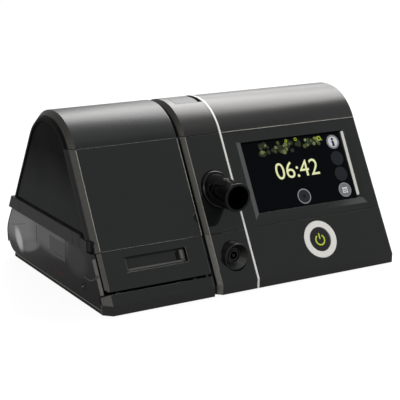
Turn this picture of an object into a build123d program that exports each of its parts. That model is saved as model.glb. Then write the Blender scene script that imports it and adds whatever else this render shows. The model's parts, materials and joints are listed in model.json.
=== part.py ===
from math import acos, atan2, cos, degrees, hypot, radians, sin, tan
import os

from build123d import *

os.makedirs("parts", exist_ok=True)

# A bedside breathing-therapy machine: a blower unit with a touch display and, on its
# left, a clip-on humidifier with a clear water tub.  +X is the user's right, +Y the
# back, +Z up.  The origin is the centre of the floor under the whole machine.

# ---------------------------------------------------------------- driving dimensions
device_width = 170.0
humidifier_width = 92.0
unit_gap = 1.0              # air between the two units
body_height = 135.0
body_depth = 190.0
ground_clearance = 1.2      # underside of the cases above the floor
front_angle = 60.7          # slope of the front face, from the floor
crown_radius = 43.0
crown_flat = 2.9
back_radius = 20.0
bend_height = 7.8           # height of the front's lowest, foremost line
undercut = 3.0              # set-back of the front below that line
edge_chamfer = 6.0
end_rounding = 1.2
wall = 2.4
seam = 0.4                  # open joint between two cover pieces
fit = 0.25                  # clearance round a piece that drops into a frame
run_fit = 0.05              # radial clearance of a pin or shaft that turns
touch = 0.05                # hairline between faces that rest on each other

top_seam_height = 112.0
low_seam_height = 42.9
rear_low_seam = 34.0
rear_top_seam = 96.0

# Places across the blower unit are measured from its left side.
trim_from_left = 37.9
trim_width = 1.6
trim_proud = 0.25

glass_from_left, glass_from_right = 54.3, 17.5
glass_low, glass_high = 51.8, 109.2       # distances up the slope from the bend line
glass_thickness = 1.2
bezel_depth = 3.2
bezel_left, bezel_right = 4.4, 7.0
bezel_low, bezel_high = 6.2, 0.8
dish_depth = 0.6            # shallow slope round the glass, before the steep step down
step_low, step_right = 1.0, 3.4           # spread of the steep step
display_thickness = 5.0
display_margin = 3.0

button_from_left, button_up = 103.8, 22.0
button_radius = 9.7
ring_radius = 15.2
button_travel = 1.0

strip_from_left = 22.0      # centre line of the outlet and the tube socket
outlet_height = 73.0
outlet_reach = 30.9         # mouth ahead of the front face
outlet_root = 14.4          # inner end of the tube behind the front face
outlet_radius = 11.2
outlet_bore = 9.2
cone_length = 20.0          # plain part of the tube that takes a cuff
cone_shoulder = 0.4         # step up to the tube's thicker root
collar_radius = 13.4
collar_proud = 2.5
collar_rounding = 1.5
seal_length = 7.0
seal_thickness = 1.9

socket_height, socket_reach = 26.1, 4.1
socket_radius = 10.6
socket_lip = 0.8
socket_length = 18.0
socket_bowl = 5.0           # depth of the tapered mouth
socket_throat = 5.8
socket_ring = 4.2
socket_pin_radius = 1.2
socket_pin_bore = 0.5

release_from_left = 12.3
release_width, release_length = 20.4, 26.0
release_ahead = 12.6        # front edge ahead of the crown's front end
release_slot = 3.2
release_travel = 2.5
release_thickness = 4.0
release_spring_radius = 3.6
release_wire = 0.7
latch_width = 8.0
latch_drop = 27.0           # tongue's top below the case's top
latch_thickness = 4.0
latch_reach = 1.2           # how far the tongue enters the humidifier's wall
shelf_drop = 21.0           # spring's shelf below the case's top
shelf_thickness = 2.0

strip_top = 8.5             # top of the base strip, up the slope
flap_gap = 2.0              # open gap between the base strip and the flap
flap_left_trim = 3.2
flap_corner = 4.0
recess_left, recess_right = 22.9, 74.9    # from the humidifier's outer side
recess_low, recess_high = 22.9, 34.2
recess_depth = 4.6
recess_floor = 1.4
recess_corner = 1.8
hinge_up, hinge_in = 11.8, 2.6            # hinge axis, up the slope and under the face
hinge_pin_radius = 0.9
hinge_eye = 1.8
lug_start, lug_width = 12.0, 3.0
knuckle_width, knuckle_gap = 4.6, 0.4
lug_web = 1.9

rim_low, rim_high = 40.9, 51.4
rim_width = 8.0
rim_back_from_front = 42.0  # where the rim's full height starts, behind the foremost line
rim_step = 1.8              # drop of the rim's front end
rim_end_from_front = 31.0
rim_grooves = (43.5, 55.0, 158.0)         # fine upright lines on the rim, behind the front
groove_width, groove_depth = 0.5, 0.4
clip_from_front = 25.0
clip_low, clip_high = 42.6, 50.2
side_gap = 2.6              # shadow gap between rim and side wall
tub_floor = 3.4
tub_wall = 2.2
tub_front_inset = 6.8
tub_back_inset = 5.5
tub_side_inset = 0.4
tub_heel = 15.0
tub_toe = 3.0
plate_thickness = 1.8
plate_from_back = 29.0
tub_seal_width = 2.0
heater_from_front, heater_height = 40.0, 15.0
heater_radius = 3.0
heater_boss_radius = 5.0
heater_boss_length = 3.0

duct_bend = 14.0
port_height = 73.0
return_leg = 18.0           # outlet tube's inner end to the return port's centre line
supply_radius = 7.0
supply_bore = 5.4
supply_from_left = 34.5     # where the supply duct turns down to the blower
gasket_width = 2.0
gasket_thickness = 1.5
gasket_proud = 0.6

blower_from_left, blower_y = 98.5, 1.0
volute_radius = 36.0
volute_low, volute_high = 23.0, 40.0
volute_wall = 2.0
spout_length = 8.0
inlet_radius = 15.0
motor_low = 6.5
motor_radius = 19.0
impeller_radius = 29.0
impeller_hub = 6.0
impeller_height = 8.0
impeller_disc = 1.6
blade_count = 9
blade_thickness = 1.2
shaft_radius = 2.0
bearing_radius = 5.0
bearing_width = 4.0
rotor_radius = 8.0
rotor_gap = 0.6
isolator_reach = 28.0
isolator_radius = 5.0
isolator_height = 9.0
ear_thickness = 3.0

foam_width = 52.0
foam_ahead = 21.0           # foam ahead of the blower's axis
foam_from_back = 37.0
foam_height = 20.0
foam_channel = 28.0

board_thickness = 1.6
filter_from_left, filter_width = 68.5, 54.0
filter_low, filter_high = 44.0, 86.0
filter_thickness = 5.0
filter_cover_thickness = 2.0

foot_radius = 6.0
foot_inset = 0.8
foot_from_left, foot_from_right = 16.0, 14.0
foot_from_front, foot_from_plate = 18.0, 4.0
screw_radius = 1.5
screw_head_radius = 2.9

# --------------------------------------------------------------------- worked out
total_width = device_width + unit_gap + humidifier_width
device_right = total_width / 2
device_left = device_right - device_width
hum_left = -total_width / 2
hum_right = hum_left + humidifier_width
front_y = -body_depth / 2
back_y = body_depth / 2

slope = radians(front_angle)
up_y, up_z = cos(slope), sin(slope)
crown_z = body_height - crown_radius
crown_front_y = front_y + (crown_radius + (crown_z - bend_height) * up_y) / up_z
crown_back_y = crown_front_y + crown_flat
back_centre_y = back_y - back_radius
back_centre_z = ground_clearance + back_radius
centres = hypot(crown_back_y - back_centre_y, crown_z - back_centre_z)
back_turn = atan2(crown_z - back_centre_z, crown_back_y - back_centre_y)
back_normal = back_turn - acos((back_radius - crown_radius) / centres)

trim_left = device_left + trim_from_left - trim_width / 2
trim_right = trim_left + trim_width
glass_left = device_left + glass_from_left
glass_right = device_right - glass_from_right
glass_width = glass_right - glass_left
button_x = device_left + button_from_left
strip_x = device_left + strip_from_left
release_left = device_left + release_from_left
release_right = release_left + release_width
release_front = crown_front_y - release_ahead
release_back = release_front + release_length
supply_drop_x = device_left + supply_from_left
blower_x = device_left + blower_from_left
filter_left = device_left + filter_from_left
filter_right = filter_left + filter_width
plate_back = back_y - plate_from_back
rim_front = front_y + rim_back_from_front
rim_end = front_y + rim_end_from_front
clip_front = front_y + clip_from_front
heater_y = front_y + heater_from_front
flap_low = strip_top + flap_gap


def slope_at(height):
    """Distance up the front slope of a height above the floor."""
    return (height - bend_height) / up_z


def front_plane(x=0.0, up=0.0, out=0.0):
    """Plane on the front face, looking out: x across, up the slope, out of the face."""
    origin = (x, front_y + up * up_y - out * up_z, bend_height + up * up_z + out * up_y)
    return Plane(origin=origin, x_dir=(1, 0, 0), z_dir=(0, -up_z, up_y))


def back_y_at(height, inset=0.0):
    """Depth of the back slope at a height, moved inwards by the inset."""
    reach = crown_radius - inset - (height - crown_z) * sin(back_normal)
    return crown_back_y + reach / cos(back_normal)


def front_y_at(height, inset=0.0):
    """Depth of the front face at a height, moved inwards by the inset."""
    return front_y + (height - bend_height) * up_y / up_z + inset / up_z


def side_outline(inset=0.0):
    """Side view of the cases, as a flat sketch with the back to its right."""
    crown_end = degrees(back_normal)
    front_start = front_angle + 90
    with BuildSketch() as outline:
        with BuildLine():
            Line((front_y + undercut, ground_clearance), (front_y, bend_height))
            rise = CenterArc((crown_front_y, crown_z), crown_radius, front_start, 90 - front_start)
            Line((front_y, bend_height), rise @ 0)
            fall = CenterArc((crown_back_y, crown_z), crown_radius, 90, crown_end - 90)
            Line(rise @ 1, fall @ 0)
            heel = CenterArc((back_centre_y, back_centre_z), back_radius, crown_end, -90 - crown_end)
            Line(fall @ 1, heel @ 0)
            Line(heel @ 1, (front_y + undercut, ground_clearance))
        make_face()
        if inset:
            offset(amount=-inset, kind=Kind.INTERSECTION, mode=Mode.REPLACE)
    return outline.sketch


def case_slice(x0, x1, inset=0.0):
    """Solid of the side outline between two places across the machine."""
    with BuildPart() as piece:
        with BuildSketch(Plane.YZ.offset(x0)):
            add(side_outline(inset))
        extrude(amount=x1 - x0)
    return piece.part


def case_block(x0, x1):
    """Outer form of a unit, with its left edge chamfered."""
    with BuildPart() as piece:
        add(case_slice(x0, x1))
        chamfer(piece.faces().sort_by(Axis.X)[0].edges(), edge_chamfer)
        fillet(piece.faces().sort_by(Axis.X)[-1].edges(), end_rounding)
    return piece.part


def case_shell(x0, x1):
    """Hollow unit, open at both ends."""
    with BuildPart() as shell:
        add(case_block(x0, x1))
        add(case_slice(x0 + edge_chamfer, x1 + wall, wall), mode=Mode.SUBTRACT)
        add(case_slice(x0 - wall, x0 + 2 * edge_chamfer, edge_chamfer + wall), mode=Mode.SUBTRACT)
    return shell.part


def side_prism(x0, x1, points):
    """Prism of a side-view polygon (depth, height) between two places across."""
    with BuildPart() as prism:
        with BuildSketch(Plane.YZ.offset(x0)):
            with BuildLine():
                Polyline(*points, close=True)
            make_face()
        extrude(amount=x1 - x0)
    return prism.part


def block(x0, x1, y0, y1, z0, z1):
    """Plain box between two corners."""
    with BuildPart() as piece:
        with BuildSketch(Plane.XY.offset(z0)):
            with Locations(((x0 + x1) / 2, (y0 + y1) / 2)):
                Rectangle(x1 - x0, y1 - y0)
        extrude(amount=z1 - z0)
    return piece.part


def disc(x, y, z0, z1, radius, bore=0.0):
    """Upright round solid between two heights, with an optional bore."""
    with BuildPart() as piece:
        with BuildSketch(Plane.XY.offset(z0)):
            with Locations((x, y)):
                Circle(radius)
                if bore:
                    Circle(bore, mode=Mode.SUBTRACT)
        extrude(amount=z1 - z0)
    return piece.part


def face_block(x0, x1, low, high, deep, out=0.0, corner=0.0):
    """Box on the front face: across, up the slope, and from the depth to the outside."""
    with BuildPart() as piece:
        with BuildSketch(front_plane((x0 + x1) / 2, (low + high) / 2, -deep)):
            if corner:
                RectangleRounded(x1 - x0, high - low, corner)
            else:
                Rectangle(x1 - x0, high - low)
        extrude(amount=deep + out)
    return piece.part


def save(piece, label):
    """Name a finished piece and write its file."""
    piece.part.label = label
    export_step(piece.part, f"parts/{label}.step")


far = 2 * body_depth
overcut = 1.6               # reach of the cutting blocks outside the cases
half_seam = seam / 2
outlet_mouth = front_y_at(outlet_height) - outlet_reach
outlet_joint = front_y_at(outlet_height) + outlet_root
return_y = outlet_joint + return_leg
socket_mouth = front_y_at(socket_height) - socket_reach
cone_end = outlet_mouth + cone_length
root_radius = outlet_radius + cone_shoulder


def region_top(rear_seam):
    """Side-view region above the top seam in front and the rear seam behind."""
    front_z, rear_z = top_seam_height + half_seam, rear_seam + half_seam
    return [(-far, front_z), (0, front_z), (0, rear_z), (far, rear_z), (far, far), (-far, far)]


region_front_high = [
    (-far, low_seam_height + half_seam), (0, low_seam_height + half_seam),
    (0, top_seam_height - half_seam), (-far, top_seam_height - half_seam),
]
floor_top = ground_clearance + wall
toe_y = front_y + undercut + 2 * wall
region_front_low = [
    (-far, 0), (toe_y, 0), (toe_y, floor_top + seam), (0, floor_top + seam),
    (0, low_seam_height - half_seam), (-far, low_seam_height - half_seam),
]
region_base = [
    (toe_y + seam, 0), (far, 0), (far, rear_low_seam - half_seam),
    (0, rear_low_seam - half_seam), (0, floor_top), (toe_y + seam, floor_top),
]
region_rear = [
    (0, rear_low_seam + half_seam), (far, rear_low_seam + half_seam),
    (far, rear_top_seam - half_seam), (0, rear_top_seam - half_seam),
]

device_shell = case_shell(device_left, device_right)
hum_shell = case_shell(hum_left, hum_right)
strip_end = trim_left - half_seam
main_start = trim_right + half_seam

# -------------------------------------------------------------- blower unit: covers
with BuildPart() as device_top_cover:
    add(device_shell)
    add(side_prism(main_start, far, region_top(rear_top_seam)), mode=Mode.INTERSECT)
save(device_top_cover, "device_top_cover")

release_x = (release_left + release_right) / 2
release_y = (release_front + release_back) / 2

with BuildPart() as strip_top_cover:
    add(device_shell)
    add(side_prism(-far, strip_end, region_top(rear_top_seam)), mode=Mode.INTERSECT)
    with BuildSketch(Plane.XY.offset(crown_z)):
        with Locations((release_x + release_slot / 2, release_y)):
            Rectangle(release_width + release_slot + 2 * fit, release_length + 2 * fit)
    extrude(amount=far, mode=Mode.SUBTRACT)
save(strip_top_cover, "strip_top_cover")

glass_x = (glass_left + glass_right) / 2
glass_up = (glass_low + glass_high) / 2
glass_height = glass_high - glass_low
mouth_x = (glass_left - bezel_left + glass_right + bezel_right) / 2
mouth_up = (glass_low - bezel_low + glass_high + bezel_high) / 2
mouth_width = glass_width + bezel_left + bezel_right
mouth_height = glass_height + bezel_low + bezel_high
dish_x, dish_up = glass_x + step_right / 2, glass_up - step_low / 2
dish_width = glass_width + step_right + 2 * fit
dish_height = glass_height + step_low + 2 * fit
glass_back = bezel_depth + glass_thickness
ledge = 2.5                 # how far the bezel reaches under the glass edge

with BuildPart() as screen_bezel:
    add(device_shell)
    add(side_prism(main_start, far, region_front_high), mode=Mode.INTERSECT)
    with BuildSketch(front_plane(mouth_x, mouth_up, -glass_back - 2 * wall)):
        Rectangle(mouth_width + 2 * wall, mouth_height - 2 * bezel_high + wall)
    extrude(amount=glass_back + 1.5 * wall)
    with BuildSketch(front_plane(mouth_x, mouth_up)):
        Rectangle(mouth_width, mouth_height)
    with BuildSketch(front_plane(dish_x, dish_up, -dish_depth)):
        Rectangle(dish_width, dish_height)
    loft(mode=Mode.SUBTRACT)
    with BuildSketch(front_plane(dish_x, dish_up, -dish_depth)):
        Rectangle(dish_width, dish_height)
    with BuildSketch(front_plane(glass_x, glass_up, -bezel_depth)):
        Rectangle(glass_width + 2 * fit, glass_height + 2 * fit)
    loft(mode=Mode.SUBTRACT)
    with BuildSketch(front_plane(glass_x, glass_up, -glass_back)):
        Rectangle(glass_width + 2 * fit, glass_height + 2 * fit)
    extrude(amount=glass_back, mode=Mode.SUBTRACT)
    with BuildSketch(front_plane(glass_x, glass_up, -far)):
        Rectangle(glass_width - 2 * ledge, glass_height - 2 * ledge)
    extrude(amount=far, mode=Mode.SUBTRACT)
    add(case_slice(main_start, device_right), mode=Mode.INTERSECT)
save(screen_bezel, "screen_bezel")

with BuildPart() as lower_front_panel:
    add(device_shell)
    add(side_prism(main_start, far, region_front_low), mode=Mode.INTERSECT)
    with BuildSketch(front_plane(button_x, button_up, -far)):
        Circle(ring_radius + fit)
    extrude(amount=2 * far, mode=Mode.SUBTRACT)
save(lower_front_panel, "lower_front_panel")


def tube_plane(height, y):
    """Upright plane across the strip's centre line, looking into the machine."""
    return Plane(origin=(strip_x, y, height), x_dir=(1, 0, 0), z_dir=(0, 1, 0))


outlet_start = tube_plane(outlet_height, outlet_mouth)

with BuildPart() as strip_upper_panel:
    add(device_shell)
    add(side_prism(-far, strip_end, region_front_high), mode=Mode.INTERSECT)
    with BuildSketch(outlet_start):
        Circle(collar_radius + fit)
    extrude(amount=body_depth / 2, mode=Mode.SUBTRACT)
save(strip_upper_panel, "strip_upper_panel")

with BuildPart() as strip_lower_panel:
    add(device_shell)
    add(side_prism(-far, strip_end, region_front_low), mode=Mode.INTERSECT)
    with BuildSketch(tube_plane(socket_height, socket_mouth - socket_length)):
        Circle(socket_radius + fit)
    extrude(amount=2 * socket_length, mode=Mode.SUBTRACT)
save(strip_lower_panel, "strip_lower_panel")

with BuildPart() as accent_trim:
    add(case_slice(trim_left, trim_right, -trim_proud))
    add(case_slice(trim_left, trim_right, wall), mode=Mode.SUBTRACT)
    add(side_prism(trim_left, trim_right, [
        (-far, ground_clearance), (toe_y, ground_clearance), (toe_y, floor_top + seam),
        (0, floor_top + seam), (0, rear_top_seam + half_seam), (far, rear_top_seam + half_seam),
        (far, far), (-far, far),
    ]), mode=Mode.INTERSECT)
save(accent_trim, "accent_trim")

board_from_front = 16.0
board_from_blower = 39.0    # board's back edge ahead of the blower's axis
board_from_left, board_width = 46.5, 110.0
board_height = 7.0          # underside of the main board above the floor
board_left = device_left + board_from_left
board_right = board_left + board_width
board_front = front_y + board_from_front
board_back = blower_y - board_from_blower
board_x, board_y = (board_left + board_right) / 2, (board_front + board_back) / 2
card_y = board_y
card_width, card_length, card_thickness = 24.0, 32.0, 2.1
board_top = board_height + board_thickness
slot_wall = 1.0
card_low = board_top + fit + slot_wall
end_recess = 0.6            # side panel's face inside the covers' edge
side_panel_out = device_right - end_recess
side_panel_in = side_panel_out - wall
card_out = side_panel_out - 0.5
card_in = card_out - card_length
slot_start = card_in - 2

with BuildPart() as right_side_panel:
    add(case_slice(side_panel_in, side_panel_out, wall + fit))
    with BuildSketch(Plane.YZ.offset(side_panel_in)):
        with Locations((card_y, card_low + card_thickness / 2)):
            Rectangle(card_width + 4 * fit, card_thickness + 4 * fit)
    extrude(amount=wall, mode=Mode.SUBTRACT)
save(right_side_panel, "right_side_panel")

shelf_margin = 3.0
latch_y = release_y
latch_high = body_height - latch_drop
latch_low = latch_high - latch_thickness
shelf_top = body_height - shelf_drop
latch_left, latch_right = latch_y - latch_width / 2, latch_y + latch_width / 2
latch_gap = 0.5
stem_left = device_left + wall + 2 * latch_gap
stem_right = stem_left + latch_thickness
supply_y = blower_y + volute_radius - volute_wall - supply_bore
return_port = (return_y, outlet_height)
supply_port = (supply_y, port_height)

with BuildPart() as coupling_wall:
    add(case_slice(device_left, device_left + wall, edge_chamfer + wall + fit))
    add(block(
        device_left + wall / 2, release_right - shelf_margin / 3,
        release_front + shelf_margin, release_back - shelf_margin,
        shelf_top - shelf_thickness, shelf_top,
    ))
    with BuildSketch(Plane.YZ.offset(device_left - 1)):
        with Locations(return_port):
            Circle(root_radius + fit)
        with Locations(supply_port):
            Circle(supply_radius + fit)
        with Locations((latch_y, latch_high - (latch_thickness + release_travel) / 2)):
            Rectangle(latch_width + 2 * latch_gap, latch_thickness + release_travel + 2 * latch_gap)
    extrude(amount=wall + 1.1, mode=Mode.SUBTRACT)
    add(block(
        stem_left - latch_gap, stem_right + latch_gap, latch_left - latch_gap,
        latch_right + latch_gap, shelf_top - 2 * shelf_thickness, shelf_top + shelf_thickness,
    ), mode=Mode.SUBTRACT)
save(coupling_wall, "coupling_wall")

post_radius = 3.2
post_inset = 4.0
post_xs = (board_left + post_inset, slot_start - post_radius - wall)
post_ys = (board_front + post_inset, board_back - post_inset)
post_places = [(x, y) for x in post_xs for y in post_ys]
isolator_foot = volute_low - isolator_height
isolator_places = [
    (blower_x + sx * isolator_reach, blower_y + sy * isolator_reach)
    for sx in (-1, 1) for sy in (-1, 1)
]
psu_from_right = 27.5
psu_ahead, psu_behind = 29.0, 51.0        # reach before and behind the blower's axis
psu_top = 50.0
psu_x = device_right - psu_from_right
psu_front, psu_back = blower_y - psu_ahead, blower_y + psu_behind
rail_height = 9.0
rail_width = 6.0
rail_lip = 2.0

device_feet_x = (device_left + foot_from_left, device_right - foot_from_right)
hum_feet_x = (hum_left + foot_from_left, hum_right - foot_from_right)
feet_y = (front_y + foot_from_front, plate_back - foot_radius - foot_from_plate)

with BuildPart() as device_base:
    add(device_shell)
    add(side_prism(-far, far, region_base), mode=Mode.INTERSECT)
    with BuildSketch(Plane.XY.offset(floor_top)):
        with Locations(*post_places):
            Circle(post_radius)
    extrude(amount=board_height - floor_top)
    with BuildSketch(Plane.XY.offset(floor_top)):
        with Locations(*isolator_places):
            Circle(isolator_radius + 1)
    extrude(amount=isolator_foot - floor_top)
    with BuildSketch(Plane.XY.offset(board_height)):
        with Locations(*post_places):
            Circle(screw_radius + run_fit)
    extrude(amount=-(board_height - floor_top), mode=Mode.SUBTRACT)
    for rail_y in (psu_front + rail_width, psu_back - rail_width):
        add(block(
            psu_x - rail_lip, psu_x + board_thickness + rail_lip, rail_y - rail_width / 2,
            rail_y + rail_width / 2, floor_top, rail_height,
        ))
    add(block(
        psu_x - fit, psu_x + board_thickness + fit, psu_front, psu_back,
        floor_top + fit, rail_height,
    ), mode=Mode.SUBTRACT)
    for foot_x in device_feet_x:
        for foot_y in feet_y:
            add(disc(foot_x, foot_y, 0, ground_clearance + foot_inset + touch, foot_radius + touch),
                mode=Mode.SUBTRACT)
save(device_base, "device_base")


def back_plane(x, height, out=0.0):
    """Plane on the back slope, looking out of it: x runs to the left, y up the slope."""
    lean_y, lean_z = cos(back_normal), sin(back_normal)
    origin = (x, back_y_at(height) + out * lean_y, height + out * lean_z)
    return Plane(origin=origin, x_dir=(-1, 0, 0), z_dir=(0, lean_y, lean_z))


filter_x = (filter_left + filter_right) / 2
filter_mid = (filter_low + filter_high) / 2
filter_height = (filter_high - filter_low) / cos(back_normal)
filter_frame = 2.0
inlet_from_right, inlet_height = 19.5, 52.0
inlet_x = device_right - inlet_from_right
inlet_width, inlet_tall, inlet_deep = 22.0, 15.0, 14.0

with BuildPart() as device_rear_cover:
    add(device_shell)
    add(side_prism(-far, far, region_rear), mode=Mode.INTERSECT)
    with BuildSketch(back_plane(filter_x, filter_mid, -wall - filter_thickness)):
        Rectangle(filter_width + 2 * filter_frame, filter_height + 2 * filter_frame)
    extrude(amount=filter_thickness + wall / 2)
    with BuildSketch(back_plane(filter_x, filter_mid, -wall - filter_thickness + filter_frame / 2)):
        Rectangle(filter_width, filter_height)
    extrude(amount=far, mode=Mode.SUBTRACT)
    with BuildSketch(back_plane(filter_x, filter_mid, -far / 2)):
        Rectangle(filter_width - 2 * filter_frame, filter_height - 2 * filter_frame)
    extrude(amount=far, mode=Mode.SUBTRACT)
    with BuildSketch(back_plane(inlet_x, inlet_height, -far / 2)):
        Rectangle(inlet_width + 2 * fit, inlet_tall + 2 * fit)
    extrude(amount=far, mode=Mode.SUBTRACT)
save(device_rear_cover, "device_rear_cover")

# --------------------------------------------------------- blower unit: display, buttons
with BuildPart() as touch_glass:
    with BuildSketch(front_plane(glass_x, glass_up, -glass_back)):
        RectangleRounded(glass_width, glass_height, 1.0)
    extrude(amount=glass_thickness)
save(touch_glass, "touch_glass")

with BuildPart() as display_module:
    with BuildSketch(front_plane(glass_x, glass_up, -glass_back - fit)):
        Rectangle(glass_width - 2 * ledge - 2 * display_margin, glass_height - 3 * ledge)
    extrude(amount=-display_thickness)
    with BuildSketch(front_plane(glass_x, glass_up, -glass_back - fit - display_thickness)):
        Rectangle(glass_width / 2, glass_height / 2)
    extrude(amount=-board_thickness)
save(display_module, "display_module")

cable_width, cable_thickness = 14.0, 0.5
cable_margin, cable_rise, cable_lead = 4.2, 14.0, 8.0
cable_x = glass_left + cable_margin
cable_depth = glass_back + 2 * fit + display_thickness + cable_thickness

with BuildPart() as display_cable:
    with BuildSketch(Plane.YZ.offset(cable_x)):
        with BuildLine():
            top_end = front_plane(0, glass_low + 3 * ledge, -cable_depth).origin
            low_end = front_plane(0, slope_at(board_top + cable_rise), -cable_depth).origin
            board_end = (low_end.Y + cable_rise, board_top + cable_thickness / 2 + fit)
            FilletPolyline(
                (top_end.Y, top_end.Z), (low_end.Y, low_end.Z), board_end,
                (board_end[0] + cable_lead, board_end[1]), radius=cable_lead / 3,
            )
        trace(line_width=cable_thickness)
    extrude(amount=cable_width)
save(display_cable, "display_cable")

switch_board_out = -10.4
switch_size = 6.0
button_thickness = 4.0
button_gap = 0.35
button_inset = 0.3          # button's face behind the ring's
stem_radius, stem_length = 2.5, 1.3

with BuildPart() as power_light_ring:
    with BuildSketch(front_plane(button_x, button_up, -wall)):
        Circle(ring_radius)
        Circle(button_radius + button_gap, mode=Mode.SUBTRACT)
    extrude(amount=wall)
    with BuildSketch(front_plane(button_x, button_up, -wall - fit)):
        Circle(ring_radius + wall)
        Circle(button_radius + button_gap, mode=Mode.SUBTRACT)
    extrude(amount=-wall / 2)
    with BuildSketch(front_plane(button_x, button_up, -wall)):
        Circle(ring_radius)
        Circle(ring_radius - wall, mode=Mode.SUBTRACT)
    extrude(amount=switch_board_out + wall)
save(power_light_ring, "power_light_ring")

with BuildPart() as power_button:
    with BuildSketch(front_plane(button_x, button_up, -button_thickness - button_inset)):
        Circle(button_radius)
    extrude(amount=button_thickness)
    fillet(power_button.faces().sort_by(Axis.Y)[0].edges(), 2 * button_inset)
    with BuildSketch(front_plane(button_x, button_up, -button_thickness - button_inset)):
        Circle(stem_radius)
    extrude(amount=-stem_length)
save(power_button, "power_button")

switch_top = -button_thickness - stem_length - button_travel - 2 * button_inset

with BuildPart() as power_switch:
    with BuildSketch(front_plane(button_x, button_up, switch_board_out)):
        Circle(ring_radius)
    extrude(amount=-board_thickness)
    with BuildSketch(front_plane(button_x, button_up, switch_board_out)):
        Rectangle(switch_size, switch_size)
    extrude(amount=switch_top - switch_board_out)
save(power_switch, "power_switch")

release_under = body_height - release_thickness
boss_length = 2.4

with BuildPart() as release_button:
    add(case_slice(release_left, release_right))
    add(case_slice(release_left, release_right, release_thickness), mode=Mode.SUBTRACT)
    add(block(release_left, release_right, release_front, release_back, crown_z, far),
        mode=Mode.INTERSECT)
    add(disc(
        release_x, release_y, release_under - boss_length, release_under + touch,
        release_spring_radius - release_wire - 2 * fit,
    ))
save(release_button, "release_button")

spring_pitch = 2.6
spring_low = shelf_top + release_wire + touch
spring_high = release_under - release_wire - 2 * fit

with BuildPart() as release_spring:
    with BuildLine():
        coil = Helix(
            spring_pitch, spring_high - spring_low, release_spring_radius,
            center=(release_x, release_y, spring_low),
        )
    with BuildSketch(Plane(origin=coil @ 0, z_dir=coil % 0)):
        Circle(release_wire)
    sweep(is_frenet=True)
save(release_spring, "release_spring")

bar_top = body_height - edge_chamfer - wall - 2 * latch_gap
riser_right = release_x - release_spring_radius - release_wire - 1

with BuildPart() as release_latch:
    add(block(
        device_left - unit_gap - latch_reach, stem_right, latch_left, latch_right,
        latch_low, latch_high,
    ))
    add(block(stem_left, stem_right, latch_left, latch_right, latch_low, bar_top))
    add(block(
        stem_left, riser_right, latch_left, latch_right, bar_top - latch_thickness, bar_top,
    ))
    add(block(
        release_left + latch_gap, riser_right, latch_left, latch_right, bar_top - 1, body_height,
    ))
    add(case_slice(-far, far, release_thickness + touch), mode=Mode.INTERSECT)
save(release_latch, "release_latch")

# ----------------------------------------------------------------- blower unit: boards
board_depth = board_back - board_front
processor_size, memory_size, driver_size = 16.0, 12.0, 7.0
chip_thin, chip_tall = 1.8, 4.0
screw_head_height = 1.8

with BuildPart() as main_board:
    add(block(board_left, board_right, board_front, board_back, board_height, board_top))
    with BuildSketch(Plane.XY.offset(board_height)):
        with Locations(*post_places):
            Circle(screw_radius + run_fit)
    extrude(amount=board_thickness, mode=Mode.SUBTRACT)
    for share_x, share_y, chip_size, chip_height in (
        (-0.15, 0.16, memory_size, chip_thin), (0.08, 0.11, processor_size, chip_thin),
        (0.14, -0.28, driver_size, chip_thin), (-0.19, -0.23, driver_size, chip_tall),
        (0.19, 0.26, driver_size, chip_tall),
    ):
        chip_x, chip_y = board_x + share_x * board_width, board_y + share_y * board_depth
        add(block(
            chip_x - chip_size / 2, chip_x + chip_size / 2, chip_y - chip_size / 2,
            chip_y + chip_size / 2, board_top, board_top + chip_height,
        ))
save(main_board, "main_board")

with BuildPart() as board_screws:
    with BuildSketch(Plane.XY.offset(board_top)):
        with Locations(*post_places):
            Circle(screw_head_radius)
    extrude(amount=screw_head_height)
    with BuildSketch(Plane.XY.offset(board_top)):
        with Locations(*post_places):
            Circle(screw_radius)
    extrude(amount=-(board_top - floor_top - seam))
save(board_screws, "board_screws")

psu_right = psu_x + board_thickness
psu_margin, psu_part_low = 5.0, 14.0
transformer_long, transformer_deep, transformer_tall = 28.0, 16.0, 22.0
choke_long, choke_deep = 16.0, 12.0
capacitor_radius, capacitor_long = 5.0, 14.0

with BuildPart() as power_supply_board:
    add(block(psu_x, psu_right, psu_front, psu_back, floor_top + 2 * fit, psu_top))
    add(block(
        psu_right, psu_right + transformer_deep, psu_back - psu_margin - transformer_long,
        psu_back - psu_margin, psu_part_low, psu_part_low + transformer_tall,
    ))
    add(block(
        psu_right, psu_right + choke_deep, psu_front + psu_margin,
        psu_front + psu_margin + choke_long, psu_part_low, psu_part_low + choke_long,
    ))
    with BuildSketch(Plane.YZ.offset(psu_right)):
        with Locations(((psu_front + psu_back) / 2 - psu_margin, psu_top / 2)):
            with GridLocations(1, choke_long, 1, 2):
                Circle(capacitor_radius)
    extrude(amount=capacitor_long)
save(power_supply_board, "power_supply_board")

with BuildPart() as mains_inlet:
    with BuildSketch(back_plane(inlet_x, inlet_height, -inlet_deep)):
        Rectangle(inlet_width, inlet_tall)
    extrude(amount=inlet_deep)
    with BuildSketch(back_plane(inlet_x, inlet_height, -inlet_deep + wall)):
        RectangleRounded(inlet_width - 2 * wall, inlet_tall - 2 * wall, 3)
    extrude(amount=inlet_deep, mode=Mode.SUBTRACT)
    with BuildSketch(back_plane(inlet_x, inlet_height, -inlet_deep + wall)):
        with Locations((-4.2, 0), (4.2, 0)):
            Circle(1.2)
    extrude(amount=inlet_deep / 2)
save(mains_inlet, "mains_inlet")

speaker_from_left, speaker_from_back = 24.5, 43.0
speaker_radius, speaker_height, magnet_height = 13.0, 4.0, 3.0
speaker_place = (device_left + speaker_from_left, back_y - speaker_from_back)

with BuildPart() as speaker:
    with BuildSketch(Plane.XY.offset(floor_top + fit)):
        with Locations(speaker_place):
            Circle(speaker_radius)
    extrude(amount=speaker_height)
    with BuildSketch(Plane.XY.offset(floor_top + fit + speaker_height)):
        with Locations(speaker_place):
            Circle(speaker_radius / 2)
    extrude(amount=magnet_height)
save(speaker, "speaker")

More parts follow.
